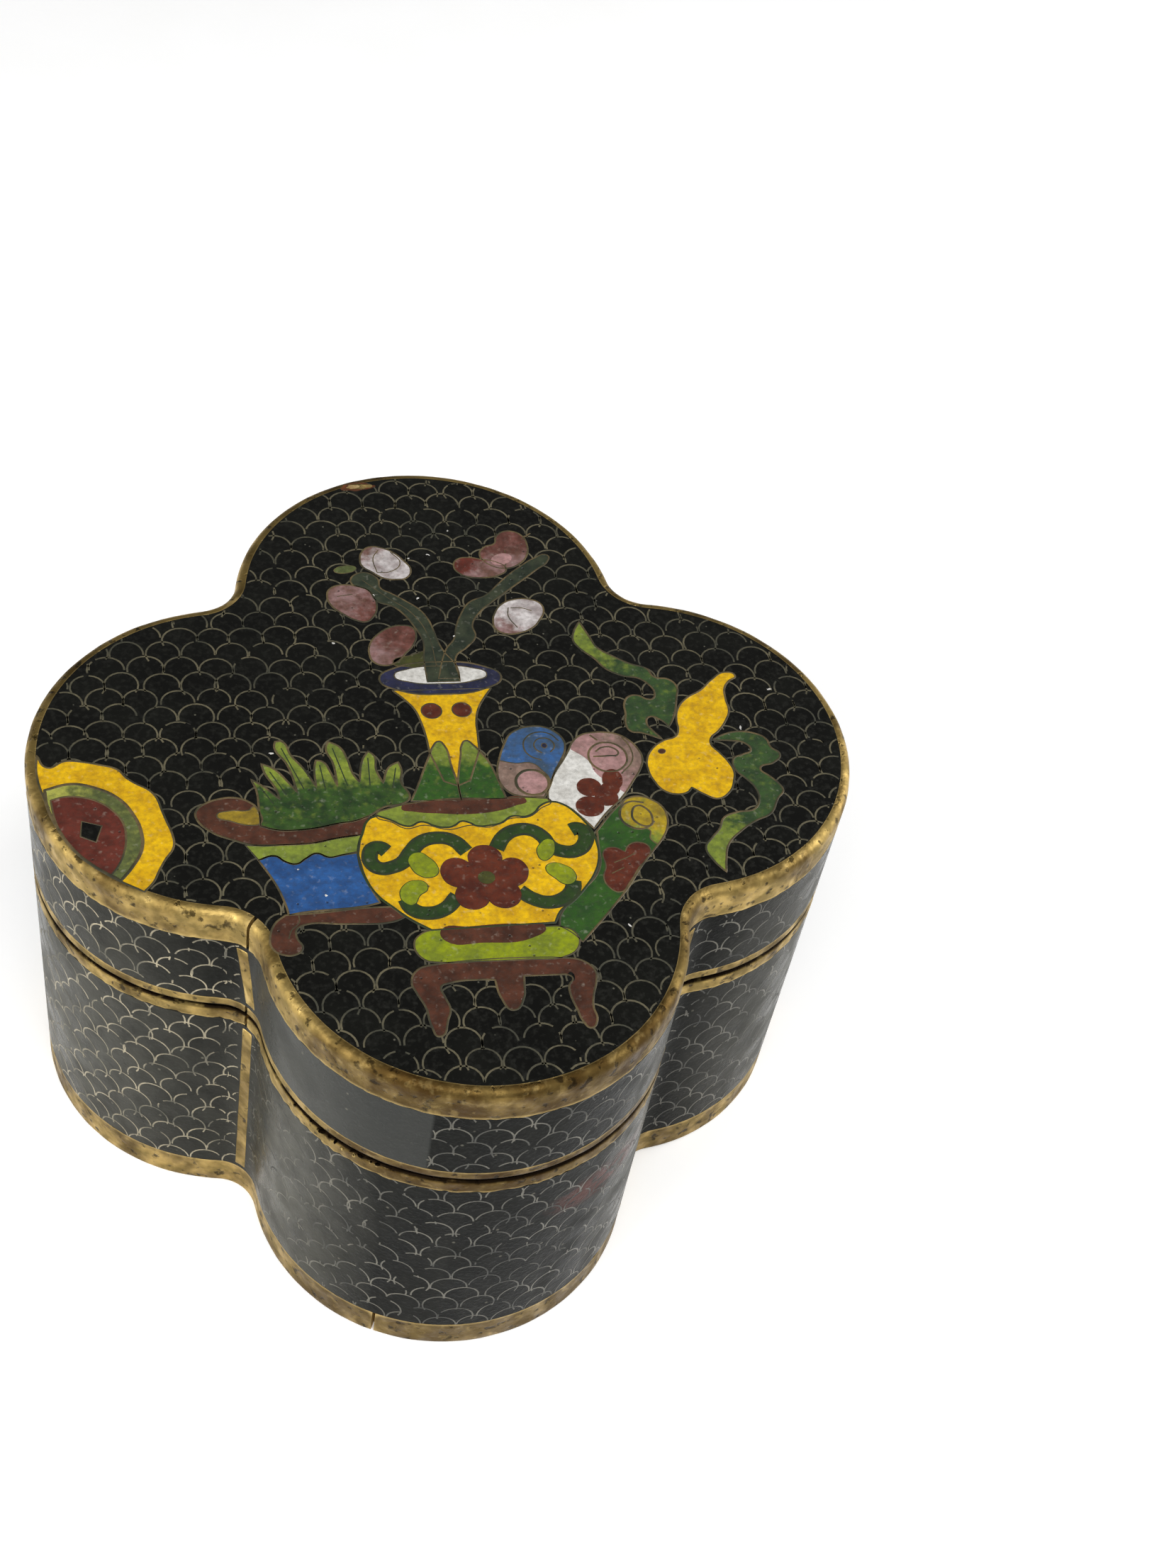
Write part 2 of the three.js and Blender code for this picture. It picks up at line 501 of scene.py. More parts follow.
def enamelFinish(name, colours, secondColours=None, blendFrom=None, blendTo=None):
    # ground glass, fired: cloudy colour, a coarse grain, dark pits and a few pale bubbles
    material, shader = newFinish(name, 0.3)
    where = place(material)
    cloudy = noise(material, where, enamelLook["mottle"], 0.36, 0.64)
    colour = mixed(material, cloudy, tone(*colours[0]), tone(*colours[1]))
    if secondColours:
        other = mixed(material, cloudy, tone(*secondColours[0]), tone(*secondColours[1]))
        colour = mixed(material, blendAlong(material, where, blendFrom, blendTo), colour, other)
    grain = noise(material, where, enamelLook["grain"], 0.4, 0.68, 6)
    colour = mixed(material, times(material, grain, enamelLook["grainDepth"]), colour, tone(30, 26, 14))
    pale = noise(material, where, enamelLook["grain"] * 0.8, 0.6, 0.78, 5)
    colour = mixed(material, times(material, pale, 0.14), colour, tone(236, 232, 214))
    pits = specks(material, where, 700, enamelLook["pits"])
    colour = mixed(material, times(material, pits, 0.7), colour, tone(26, 22, 14))
    connect(material, colour, shader.inputs["Base Color"])
    low, high = enamelLook["roughness"]
    connect(material, between(material, grain, low, high), shader.inputs["Roughness"])
    wavy = bump(material, noise(material, where, 550, 0.2, 0.8, 3), enamelLook["wave"])
    sandy = bump(material, grain, -0.02 * mm, wavy)
    connect(material, bump(material, pits, -0.04 * mm, sandy), shader.inputs["Normal"])
    return material


enamels = {}


def enamel(name):
    if name not in enamels:
        enamels[name] = enamelFinish("enamel_" + name, enamelColours[name])
    return enamels[name]


def blendedEnamel(first, second, blendFrom, blendTo):
    name = "enamel_" + first + "_to_" + second + str(len(enamels))
    enamels[name] = enamelFinish(name, enamelColours[first], enamelColours[second], blendFrom, blendTo)
    return enamels[name]


groundLook = {
    "black": (10, 10, 8),
    "grain": (25, 25, 21),
    "clouds": (28, 29, 24),
}


def topGroundFinish():
    material, shader = newFinish("black_enamel_top", 0.3)
    shader.inputs["Specular IOR Level"].default_value = 0.28
    where = place(material)
    grain = noise(material, where, 2200, 0.48, 0.74, 6)
    broad = noise(material, where, 180, 0.42, 0.7)
    colour = mixed(material, grain, tone(*groundLook["black"]), tone(*groundLook["grain"]))
    colour = mixed(material, times(material, broad, 0.3), colour, tone(*groundLook["clouds"]))
    dots = specks(material, where, 520, 0.06)
    colour = mixed(material, times(material, dots, 0.7), colour, tone(104, 102, 90))
    connect(material, colour, shader.inputs["Base Color"])
    connect(material, between(material, grain, 0.24, 0.5), shader.inputs["Roughness"])
    wavy = bump(material, noise(material, where, 600, 0.2, 0.8), 0.05 * mm)
    connect(material, bump(material, grain, 0.02 * mm, wavy), shader.inputs["Normal"])
    return material


sideLook = {
    "black": (8, 9, 7),
    "grain": (21, 22, 19),
    "hazeAndReflection": (94, 93, 85),
    "patch": (70, 71, 68),
    "stain": (74, 40, 33),
    # painted reflection, pale patches on the flanks of the lobes: middle and reach in mm, and how strong it
    # is
    "paintedReflections": [
        ((-35, -8, 15), (22, 20, 40), 0.75),
        ((-17.5, -28, 15), (12, 12, 40), 0.85),
        ((19, -30, 20), (10, 12, 34), 0.8),
        ((37, -10, 20), (18, 20, 40), 0.85),
        ((0, 36, 20), (40, 30, 40), 0.5),
    ],
    "stainPlace": ((11.5, -34, 22.3), (7, 7, 2.8)),
}


def sideGroundFinish():
    # duller than the top, with upright streaks and faint haze, and a painted reflection as pale patches on
    # the flanks
    material, shader = newFinish("black_enamel_side", 0.3)
    shader.inputs["Specular IOR Level"].default_value = 0.04
    where = place(material)
    streaks = noise(material, place(material, (1, 1, 0.16)), 500, 0.46, 0.68)
    clouds = noise(material, where, 230, 0.42, 0.62, 8)
    grain = noise(material, where, 2600, 0.46, 0.76, 6)
    reflectionBreakup = between(material, noise(material, where, 420, 0.3, 0.62, 8), 0.55, 1)
    colour = mixed(material, grain, tone(*sideLook["black"]), tone(*sideLook["grain"]))
    colour = mixed(material, times(material, streaks, 0.04), colour, tone(*sideLook["hazeAndReflection"]))
    colour = mixed(material, times(material, clouds, 0.03), colour, tone(*sideLook["hazeAndReflection"]))
    # painted reflection: pale patches on the flanks of each lobe, broken up by noise, stand in for the
    # bright floor and sides mirrored there
    for middle, reach, strength in sideLook["paintedReflections"]:
        hazeAndReflection = spotMask(material, Vector(middle) * mm, Vector(reach) * mm)
        hazeAndReflection = times(material, times(material, hazeAndReflection, reflectionBreakup), strength)
        colour = mixed(material, hazeAndReflection, colour, tone(*sideLook["hazeAndReflection"]))
    onLid = rampAlong(material, "Z", 31 * mm, 31.1 * mm)
    onLeft = rampAlong(material, "X", -5.4 * mm, -5.7 * mm)
    inFront = rampAlong(material, "Y", -19 * mm, -21 * mm)
    patch = times(material, times(material, onLid, onLeft), inFront)
    colour = mixed(material, times(material, patch, 0.5), colour, tone(*sideLook["patch"]))
    middle, reach = sideLook["stainPlace"]
    stain = steeper(material, spotMask(material, Vector(middle) * mm, Vector(reach) * mm), 0, 0.5)
    smear = times(material, stain, noise(material, place(material, (1, 1, 2.4)), 600, 0.38, 0.5))
    colour = mixed(material, smear, colour, tone(*sideLook["stain"]))
    dots = specks(material, where, 420, 0.08)
    colour = mixed(material, times(material, dots, 0.6), colour, tone(104, 101, 90))
    connect(material, colour, shader.inputs["Base Color"])
    connect(material, between(material, clouds, 0.2, 0.42), shader.inputs["Roughness"])
    wavy = bump(material, noise(material, where, 300, 0.2, 0.8), 0.05 * mm)
    connect(material, bump(material, grain, 0.015 * mm, wavy), shader.inputs["Normal"])
    return material


def wireFinish(name, bright, dull, metal):
    material, shader = newFinish(name, 0.45)
    shader.inputs["Metallic"].default_value = metal
    where = place(material)
    patches = noise(material, where, 260, 0.4, 0.62, 8)
    colour = mixed(material, patches, tone(*bright), tone(*dull))
    dirt = noise(material, where, 1800, 0.45, 0.7, 6)
    colour = mixed(material, times(material, dirt, 0.55), colour, tone(30, 30, 22))
    connect(material, colour, shader.inputs["Base Color"])
    connect(material, between(material, patches, 0.35, 0.6), shader.inputs["Roughness"])
    connect(material, bump(material, noise(material, where, 2500), 0.01 * mm), shader.inputs["Normal"])
    return material


brassLook = {
    "bright": (222, 194, 128),
    "gold": (184, 156, 92),
    "olive": (142, 122, 72),
    "brown": (74, 55, 26),
    "footShadeBrown": (98, 80, 47),
    "dirt": (36, 28, 16),
    "seamDark": (24, 17, 10),
    "roughness": (0.42, 0.64),
    # painted shade in the patina's brown: the bands are darkened at the front of the lid and the front of
    # the foot
    "frontShadePlace": ((5 * mm, -40 * mm, 38 * mm), (30 * mm, 20 * mm, 26 * mm)),
    "footShadePlace": ((5 * mm, -40 * mm, 2 * mm), (34 * mm, 22 * mm, 16 * mm)),
}


def brassFinish(name, patina, hammer):
    # aged brass: gold where it is handled, olive and brown patches, dirt, a painted highlight on its edges
    # and painted shade towards the front of the lid and foot
    material, shader = newFinish(name, 0.5)
    shader.inputs["Metallic"].default_value = 1.0
    where = place(material)
    olive = noise(material, where, 620, 0.36, 0.6, 8)
    patches = noise(material, where, 240, 0.44, 0.62, 8)
    colour = mixed(material, olive, tone(*brassLook["gold"]), tone(*brassLook["olive"]))
    colour = mixed(material, times(material, patches, patina), colour, tone(*brassLook["brown"]))
    # painted shade: the lid band and the foot band are darkened brown towards the front, broken up by noise
    shade = between(material, noise(material, where, 380, 0.3, 0.62, 8), 0.55, 1)
    for spot, brown in (("frontShadePlace", "brown"), ("footShadePlace", "footShadeBrown")):
        shadedFront = steeper(material, spotMask(material, *brassLook[spot]), 0, 0.45)
        colour = mixed(material, times(material, shadedFront, shade), colour, tone(*brassLook[brown]))
    crumbs = noise(material, where, 1100, 0.58, 0.66, 8)
    colour = mixed(material, times(material, crumbs, 0.8), colour, tone(*brassLook["dirt"]))
    pale = noise(material, where, 900, 0.56, 0.7, 6)
    colour = mixed(material, times(material, pale, 0.2), colour, tone(*brassLook["bright"]))
    # painted highlight: pale brass on the sharp edges and crests of the bands
    edges = addNode(material, "NewGeometry")
    paintedCrestHighlight = steeper(material, edges.outputs["Pointiness"], 0.54, 0.62)
    colour = mixed(material, times(material, paintedCrestHighlight, 0.7), colour, tone(*brassLook["bright"]))
    # darker beside the seam between lid and body, in ragged patches
    ragged = noise(material, where, 500, 0.1, 0.42, 6)
    seamDarkening = times(material, nearSeam(material, 0.5 * mm, 0.55 * mm, 0.2 * mm), ragged)
    colour = mixed(material, seamDarkening, colour, tone(*brassLook["seamDark"]))
    connect(material, colour, shader.inputs["Base Color"])
    low, high = brassLook["roughness"]
    connect(material, between(material, olive, low, high), shader.inputs["Roughness"])
    dents = bump(material, noise(material, where, 620, 0.3, 0.7, 3), hammer)
    pitted = bump(material, noise(material, where, 1900, 0.3, 0.7, 4), 0.02 * mm, dents)
    connect(material, bump(material, crumbs, -0.05 * mm, pitted), shader.inputs["Normal"])
    return material


def sheetFinish():
    # the vessel inside and underneath: dull brown sheet with file marks
    material, shader = newFinish("dull_sheet_metal", 0.5)
    shader.inputs["Metallic"].default_value = 0.9
    where = place(material)
    patches = noise(material, where, 130, 0.35, 0.65, 8)
    colour = mixed(material, patches, tone(150, 116, 62), tone(92, 68, 40))
    spots = noise(material, where, 700, 0.6, 0.7, 6)
    colour = mixed(material, times(material, spots, 0.7), colour, tone(50, 38, 26))
    # darker beside the seam between lid and body
    seamDarkening = nearSeam(material, 1 * mm, 1 * mm, 0.4 * mm)
    colour = mixed(material, seamDarkening, colour, tone(22, 17, 11))
    connect(material, colour, shader.inputs["Base Color"])
    connect(material, between(material, patches, 0.38, 0.6), shader.inputs["Roughness"])
    marks = noise(material, place(material, (14, 1, 1)), 300, 0.3, 0.7)
    connect(material, bump(material, marks, 0.02 * mm), shader.inputs["Normal"])
    return material


blackTop = topGroundFinish()
blackSide = sideGroundFinish()
topWire = wireFinish("scale_wire_top", (98, 92, 72), (58, 57, 45), 0.0)
tanWire = wireFinish("scale_wire_tan", (156, 145, 118), (84, 81, 67), 0.0)
faintWire = wireFinish("scale_wire_faint", (88, 84, 70), (42, 42, 36), 0.0)
figureWire = wireFinish("figure_wire", (98, 84, 56), (50, 48, 28), 0.0)
bandBrass = brassFinish("aged_brass_band", 0.75, 0.05 * mm)
stripBrass = brassFinish("aged_brass_strip", 0.5, 0.03 * mm)
sheetMetal = sheetFinish()
for node in ("body_shell", "lid_shell"):
    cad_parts[node].data.materials.clear()
    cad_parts[node].data.materials.append(sheetMetal)
print("finishes mixed")


# brass bands, each bent from one strip

bandDentSize = 2.6 * mm
bandShapes = {  # in mm
    "foot_band": {"edge": "bottom", "radius": 0.4, "cuts": 6, "uneven": 0.07, "crust": 0.05},
    "body_mouth_band": {"edge": "top", "radius": 0.35, "cuts": 3, "uneven": 0.1, "crust": 0.11},
    "lid_mouth_band": {"edge": "bottom", "radius": 0.3, "cuts": 2, "uneven": 0.08, "crust": 0.05},
    "lid_top_band": {"edge": "top", "radius": 0.9, "cuts": 5, "uneven": 0.07, "crust": 0.05},
}


def bendBand(node, shape, seed):
    low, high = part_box(node)
    start = 0
    if node == "foot_band":
        start = notchLength / 2 + outline["footJointShare"] * lobeLength
    first = start + outline["joint"] / 2
    last = start + fullLength - outline["joint"] / 2
    band = startSection(node + "_brass", first, low.z, high.z, skin)
    edge = high.z if shape["edge"] == "top" else low.z
    other = low.z if shape["edge"] == "top" else high.z
    roundCorner(band, first, edge, shape["radius"] * mm, 4)
    cutSide(band, first, shape["cuts"])
    carryAlong(band, first, last)
    makeUneven(band, shape["uneven"] * mm, bandDentSize)
    roughenEdge(band, other, shape["crust"] * mm, seed)
    smoothFaces(band, 50)
    dress(band, bandBrass)
    finishPiece(band, "brass", node)
    return band


for seed, (node, shape) in enumerate(bandShapes.items()):
    bendBand(node, shape, seed)
print("bands bent")


# enamel sides and the strips that close the notches

lobeNames = ["front", "right", "back", "left"]  # in outline order
notchNames = ["front_left", "front_right", "back_right", "back_left"]
stripShape = {
    "width": 1.2 * mm,
    "proud": 0.05 * mm,
    "uneven": 0.05 * mm,
    "dentSize": 1.6 * mm,
    "slant": {"lid_front_left": 0.55 * mm, "body_front_left": -0.25 * mm},
}


def sidePanel(part, quarter):
    node = part + "_enamel_" + lobeNames[quarter]
    low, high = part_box(node)
    first = quarter * quarterLength + 0.02 * mm
    last = (quarter + 1) * quarterLength - 0.02 * mm
    panel = startSection(node + "_glaze", first, low.z, high.z, skin)
    carryAlong(panel, first, last)
    smoothFaces(panel)
    dress(panel, blackSide)
    finishPiece(panel, "black_enamel", node)


def notchStrip(part, quarter):
    node = part + "_notch_strip_" + notchNames[quarter]
    low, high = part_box(node)
    width = stripShape["width"]
    deselectAll()
    bpy.ops.mesh.primitive_cube_add(size=1, location=(0, (low.z + high.z) / 2, -skin / 2))
    strip = bpy.context.object
    strip.name = node + "_brass"
    strip.scale = (width, high.z - low.z, skin + 2 * stripShape["proud"])
    applyPlace(strip)
    editAll(strip)
    bpy.ops.mesh.bevel(offset=0.12 * mm, segments=2, affect="EDGES")
    for height in range(1, round((high.z - low.z) / mm)):
        bpy.ops.mesh.select_all(action="SELECT")
        bpy.ops.mesh.bisect(plane_co=(0, low.z + height * mm, 0), plane_no=(0, 1, 0))
    for across in (-0.3, 0, 0.3):
        bpy.ops.mesh.select_all(action="SELECT")
        bpy.ops.mesh.bisect(plane_co=(across * width, 0, 0), plane_no=(1, 0, 0))
    bpy.ops.object.mode_set(mode="OBJECT")
    slant = stripShape["slant"].get(part + "_" + notchNames[quarter], 0)
    for vertex in strip.data.vertices:
        share = (vertex.co.y - low.z) / (high.z - low.z)
        vertex.co.x += quarter * quarterLength + slant * (1 - 2 * share)
    wrapOnOutline(strip)
    makeUneven(strip, stripShape["uneven"], stripShape["dentSize"])
    turnFacesOut(strip)
    smoothFaces(strip, 50)
    dress(strip, stripBrass)
    finishPiece(strip, "brass", node)


for part in ("body", "lid"):
    for quarter in range(4):
        sidePanel(part, quarter)
        notchStrip(part, quarter)
print("sides closed")


# fish-scale wires, one wire modelled once and copied

scaleWires = {
    "radius": 1.6 * mm,
    "topWidth": 0.17 * mm,
    "sideWidth": 0.15 * mm,
    "turns": (192, 214, 238),  # degrees of the circle that a wire goes round
    "segments": 14,
    "proud": 0.006 * mm,
    "topPitch": (3.25 * mm, 2.05 * mm),
    "sidePitch": (3.4 * mm, 1.9 * mm),
    # how irregular the rows are: in mm, in radians and as shares of the size
    "sway": 0.3,
    "stray": (0.22, 0.18),
    "tilt": 0.16,
    "sizes": (0.92, 1.07),
    "stretch": (0.94, 1.08),
}


def bendScaleWire(width, turn):
    # a strip with its flat face up, spun from the right foot over the crown to the left one
    radius = scaleWires["radius"]
    start = (radius, 0, 0)
    deselectAll()
    bpy.ops.mesh.primitive_circle_add(vertices=3, radius=width / 2, fill_type="NGON", location=start)
    wire = bpy.context.object
    wire.rotation_euler = (-math.pi / 2, 0, 0)
    wire.name = "scale_wire"
    applyPlace(wire)
    top = max(vertex.co.z for vertex in wire.data.vertices)
    for vertex in wire.data.vertices:
        if vertex.co.z > top - 0.01 * mm:  # the two corners that show
            vertex.co.x = radius + (width / 2 if vertex.co.x > radius else -width / 2)
            vertex.co.z = scaleWires["proud"]
        else:
            vertex.co.z = -0.06 * mm
    editAll(wire)
    swept = -math.radians(turn)  # spin turns clockwise
    bpy.ops.mesh.spin(steps=scaleWires["segments"], angle=swept, center=(0, 0, 0), axis=(0, 0, 1))
    bpy.ops.object.mode_set(mode="OBJECT")
    wire.rotation_euler = (0, 0, math.radians(90 - turn / 2))
    applyPlace(wire)
    turnFacesOut(wire)
    return wire


def copyScales(name, wires, places):
    copies = []
    for x, y, turn, size in places:
        wire = rng.choice(wires)
        copy = wire.copy()
        copy.data = wire.data.copy()
        copy.location = (x, y, 0)
        copy.rotation_euler = (0, 0, turn)
        copy.scale = (size, size * rng.uniform(*scaleWires["stretch"]), 1)
        bpy.context.collection.objects.link(copy)
        copies.append(copy)
    sheet = joinPieces(name, copies)
    applyPlace(sheet)
    return sheet


def dropFaces(piece, test):
    # takes away the faces whose middle passes the test, and closes the ends that are left open
    pick(piece)
    bpy.ops.object.mode_set(mode="EDIT")
    bpy.ops.mesh.select_mode(type="FACE")
    bpy.ops.mesh.select_all(action="DESELECT")
    bpy.ops.object.mode_set(mode="OBJECT")
    for face in piece.data.polygons:
        face.select = test(face.center)
    bpy.ops.object.mode_set(mode="EDIT")
    bpy.ops.mesh.delete(type="FACE")
    bpy.ops.mesh.select_mode(type="EDGE")
    bpy.ops.mesh.select_all(action="SELECT")
    bpy.ops.mesh.fill_holes(sides=8)
    bpy.ops.object.mode_set(mode="OBJECT")


wornWires = {
    "patch": 1.3 * mm,
    # the limits of the patches: the higher, the fewer wires are broken
    "top": 0.5,
    "side": 0.42,
    "frontLeft": 0.2,
    "frontLeftTo": -4 * mm,  # the x up to which the body's front lobe has lost most
}


def isWorn(spot, limit):
    # broken lengths of wire lie in patches
    flat = Vector((spot.x, spot.y, 0))
    return patchNoise.noise(flat / wornWires["patch"]) > limit


def scalePlaces(left, right, bottom, top, pitch):
    across, up = pitch
    sway = scaleWires["sway"]
    strayAcross, strayUp = scaleWires["stray"]
    tilt = scaleWires["tilt"]
    places = []
    for row in range(math.floor(bottom / up) - 1, math.ceil(top / up) + 2):
        for column in range(math.floor(left / across) - 1, math.ceil(right / across) + 2):
            swayAcross = math.sin(row * 0.7 + column * 0.31) * sway * mm
            swayUp = math.sin(column * 0.55 + row * 0.2) * sway * mm
            shifted = column + 0.5 * (row % 2)  # every second row lies half a scale further
            x = shifted * across + swayAcross + rng.uniform(-strayAcross, strayAcross) * mm
            y = row * up + swayUp + rng.uniform(-strayUp, strayUp) * mm
            places.append((x, y, rng.uniform(-tilt, tilt), rng.uniform(*scaleWires["sizes"])))
    return places


def topScales(wires):
    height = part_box("lid_top_enamel")[1].z
    low, high = cadBounds
    inside = []
    for x, y, turn, size in scalePlaces(low.x, high.x, low.y, high.y, scaleWires["topPitch"]):
        if insetAt(x, y) > skin - scaleWires["radius"]:
            inside.append((x, y, turn, size))
    scales = copyScales("lid_top_scale_wires", wires, inside)

    def isOff(spot):
        return insetAt(spot.x, spot.y) < skin + 0.15 * mm or isWorn(spot, wornWires["top"])

    dropFaces(scales, isOff)
    for vertex in scales.data.vertices:
        vertex.co.z += height
    dress(scales, topWire)
    finishPiece(scales, "brass")


plainPatch = {"quarter": 0, "end": -5.5 * mm}  # the lid's front lobe has no wires up to this x


def sideScales(part, quarter, wires):
    low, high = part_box(part + "_enamel_" + lobeNames[quarter])
    stripHalf = stripShape["width"] / 2
    first = quarter * quarterLength + stripHalf + 0.1 * mm
    last = (quarter + 1) * quarterLength - stripHalf - 0.1 * mm
    lobeMiddle = quarter * quarterLength + quarterLength / 2
    if part == "lid" and quarter == plainPatch["quarter"]:
        first = lobeMiddle + math.asin(plainPatch["end"] / lobeRadius) * lobeRadius
    reach = 1.7 * mm  # how far a wire goes from its middle
    inside = []
    for x, y, turn, size in scalePlaces(first, last, low.z, high.z, scaleWires["sidePitch"]):
        if first - reach < x < last + reach and low.z - reach < y < high.z + 0.5 * mm:
            inside.append((x, y, turn, size))
    scales = copyScales(part + "_scale_wires_" + lobeNames[quarter], wires, inside)
    edges = [
        ((first, 0, 0), (-1, 0, 0)),
        ((last, 0, 0), (1, 0, 0)),
        ((0, low.z + 0.05 * mm, 0), (0, -1, 0)),
        ((0, high.z - 0.05 * mm, 0), (0, 1, 0)),
    ]
    for spot, outward in edges:
        editAll(scales)
        bpy.ops.mesh.bisect(plane_co=spot, plane_no=outward, clear_outer=True, use_fill=True)
    bpy.ops.object.mode_set(mode="OBJECT")
    mostWorn = first
    if part == "body" and lobeNames[quarter] == "front":
        mostWorn = lobeMiddle + math.asin(wornWires["frontLeftTo"] / lobeRadius) * lobeRadius
    dropFaces(scales, lambda spot: isWorn(spot, wornWires["frontLeft" if spot.x < mostWorn else "side"]))
    wrapOnOutline(scales)
    dress(scales, tanWire if lobeNames[quarter] in ("left", "back") else faintWire)
    finishPiece(scales, "brass")


topWires = [bendScaleWire(scaleWires["topWidth"], turn) for turn in scaleWires["turns"]]
sideWires = [bendScaleWire(scaleWires["sideWidth"], turn) for turn in scaleWires["turns"]]
topScales(topWires)
for part in ("body", "lid"):
    for quarter in range(4):
        sideScales(part, quarter, sideWires)
for wire in topWires + sideWires:
    bpy.data.objects.remove(wire)
print("scale wires laid")


# the black ground of the top

def topGround():
    node = "lid_top_enamel"
    low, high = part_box(node)
    ground = startSection("lid_top_enamel_glaze", 0, low.z, high.z, 0.3 * mm, skin)
    spot, outward = outlineAt(0, skin)
    selectVertices(ground, lambda co: (co - spot).dot(outward) < -0.1 * mm)
    bpy.ops.mesh.delete(type="VERT")
    bpy.ops.object.mode_set(mode="OBJECT")
    carryAlong(ground, 0, fullLength)
    for height in (low.z, high.z):
        selectVertices(ground, lambda co: abs(co.z - height) < 0.01 * mm)
        bpy.ops.mesh.edge_face_add()
        bpy.ops.object.mode_set(mode="OBJECT")
    turnFacesOut(ground)
    smoothFaces(ground)
    dress(ground, blackTop)
    finishPiece(ground, "black_enamel", node)


topGround()
print("top ground laid")


# the picture: cells of enamel edged with wire, in millimetres on the top, y to the back.
# A point with a third value is a corner, and the others are rounded.

pictureShape = {
    "height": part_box("lid_top_enamel")[1].z,
    "thickness": 0.06 * mm,
    "levelStep": 0.007 * mm,
    "wireWidth": 0.2,
    "wireFlatness": 0.3,
}


def drawCurve(points, closed):
    deselectAll()
    bpy.ops.curve.primitive_bezier_curve_add()
    curve = bpy.context.object
    spline = curve.data.splines[0]
    spline.bezier_points.add(len(points) - 2)
    spline.use_cyclic_u = closed
    for knot, (x, y, *corner) in zip(spline.bezier_points, points):
        knot.co = (x * mm, y * mm, 0)
        knot.handle_left_type = "VECTOR" if corner else "AUTO"
        knot.handle_right_type = "VECTOR" if corner else "AUTO"
    curve.data.resolution_u = 6
    return curve


def cell(points, material, level=1):
    curve = drawCurve(points, True)
    curve.data.dimensions = "2D"
    curve.data.fill_mode = "BOTH"
    curve.data.extrude = pictureShape["thickness"] / 2
    pick(curve)
    bpy.ops.object.convert(target="MESH")
    piece = bpy.context.object
    raised = level * pictureShape["levelStep"]
    piece.location.z = pictureShape["height"] + raised - pictureShape["thickness"] / 2
    applyPlace(piece)
    turnFacesOut(piece)
    dress(piece, material)
    return piece


def wireAlong(points, closed=False, width=None, material=None):
    # flattened, so that it stands a little above the lowest cells
    curve = drawCurve(points, closed)
    curve.data.dimensions = "3D"
    curve.data.bevel_depth = (width or pictureShape["wireWidth"]) / 2 * mm
    curve.data.bevel_resolution = 1
    curve.data.use_fill_caps = True
    pick(curve)
    bpy.ops.object.convert(target="MESH")
    piece = bpy.context.object
    piece.location.z = pictureShape["height"] + 0.012 * mm
    piece.scale.z = pictureShape["wireFlatness"]
    applyPlace(piece)
    turnFacesOut(piece)
    dress(piece, material or figureWire)
    return piece


def edgedCell(points, material, level=1, width=None, edge=None):
    return [cell(points, material, level), wireAlong(points, True, width, edge)]


def oval(x, y, wide, high, turn=0):
    lean = math.radians(turn)
    points = []
    for step in range(8):
        angle = math.tau * step / 8
        along = wide * math.cos(angle)
        across = high * math.sin(angle)
        points.append((
            x + along * math.cos(lean) - across * math.sin(lean),
            y + along * math.sin(lean) + across * math.cos(lean),
        ))
    return points


def ringLine(x, y, radius, first, last, count=7):
    angles = [math.radians(first + (last - first) * step / (count - 1)) for step in range(count)]
    return [(x + radius * math.cos(angle), y + radius * math.sin(angle)) for angle in angles]


def finishPicture(name, pieces):
    picture = joinPieces(name, pieces)
    smoothFaces(picture)
    finishPiece(picture, "black_enamel")


coin = {
    "edge": [
        (-36.9, 0.2, 1), (-36, -1.3), (-34.5, -0.6), (-33, -0.75), (-31.5, -1.15), (-30, -1.75),
        (-29.2, -2.8), (-28.4, -3.5), (-27.3, -4.3), (-26.7, -5.2), (-26.3, -6.6), (-25.9, -8),
        (-25.5, -9.3), (-25.4, -10.8), (-26.2, -12.3), (-26.7, -13.4), (-27.2, -14.6), (-28, -15.6, 1),
        (-31, -13.6), (-33.4, -11.2), (-35, -8.4), (-36.2, -5), (-36.9, -2),
    ],
    "ring": [
        (-36.2, -3.9, 1), (-34, -3.3), (-32, -3.8), (-30, -5.1), (-28.75, -7), (-28.1, -9),
        (-28.1, -11), (-29, -13), (-29.9, -14.3, 1), (-32, -12.7), (-33.8, -10.7), (-35.2, -8),
        (-36, -5.7),
    ],
    "disc": [
        (-35.7, -5.1, 1), (-34.5, -4.75), (-33, -4.9), (-31.6, -5.5), (-30.4, -6.6), (-29.6, -8),
        (-29.4, -9.6), (-29.6, -11.3), (-30.1, -12.7), (-30.7, -13.7, 1), (-32.4, -12.3),
        (-34.1, -10.2), (-35.2, -7.8),
    ],
    "hole": [(-33.1, -7.6, 1), (-31.4, -8.2, 1), (-31.9, -10, 1), (-33.2, -9.3, 1)],
}


def layCoin():
    ring = blendedEnamel("paleLime", "ringGreen", (-36, -4), (-31.5, -5))
    pieces = edgedCell(coin["edge"], enamel("yellow"), 1)
    pieces += edgedCell(coin["ring"], ring, 2, 0.3)
    pieces += edgedCell(coin["disc"], enamel("red"), 3)
    pieces += edgedCell(coin["hole"], blackTop, 4)
    finishPicture("coin_cells", pieces)


layCoin()

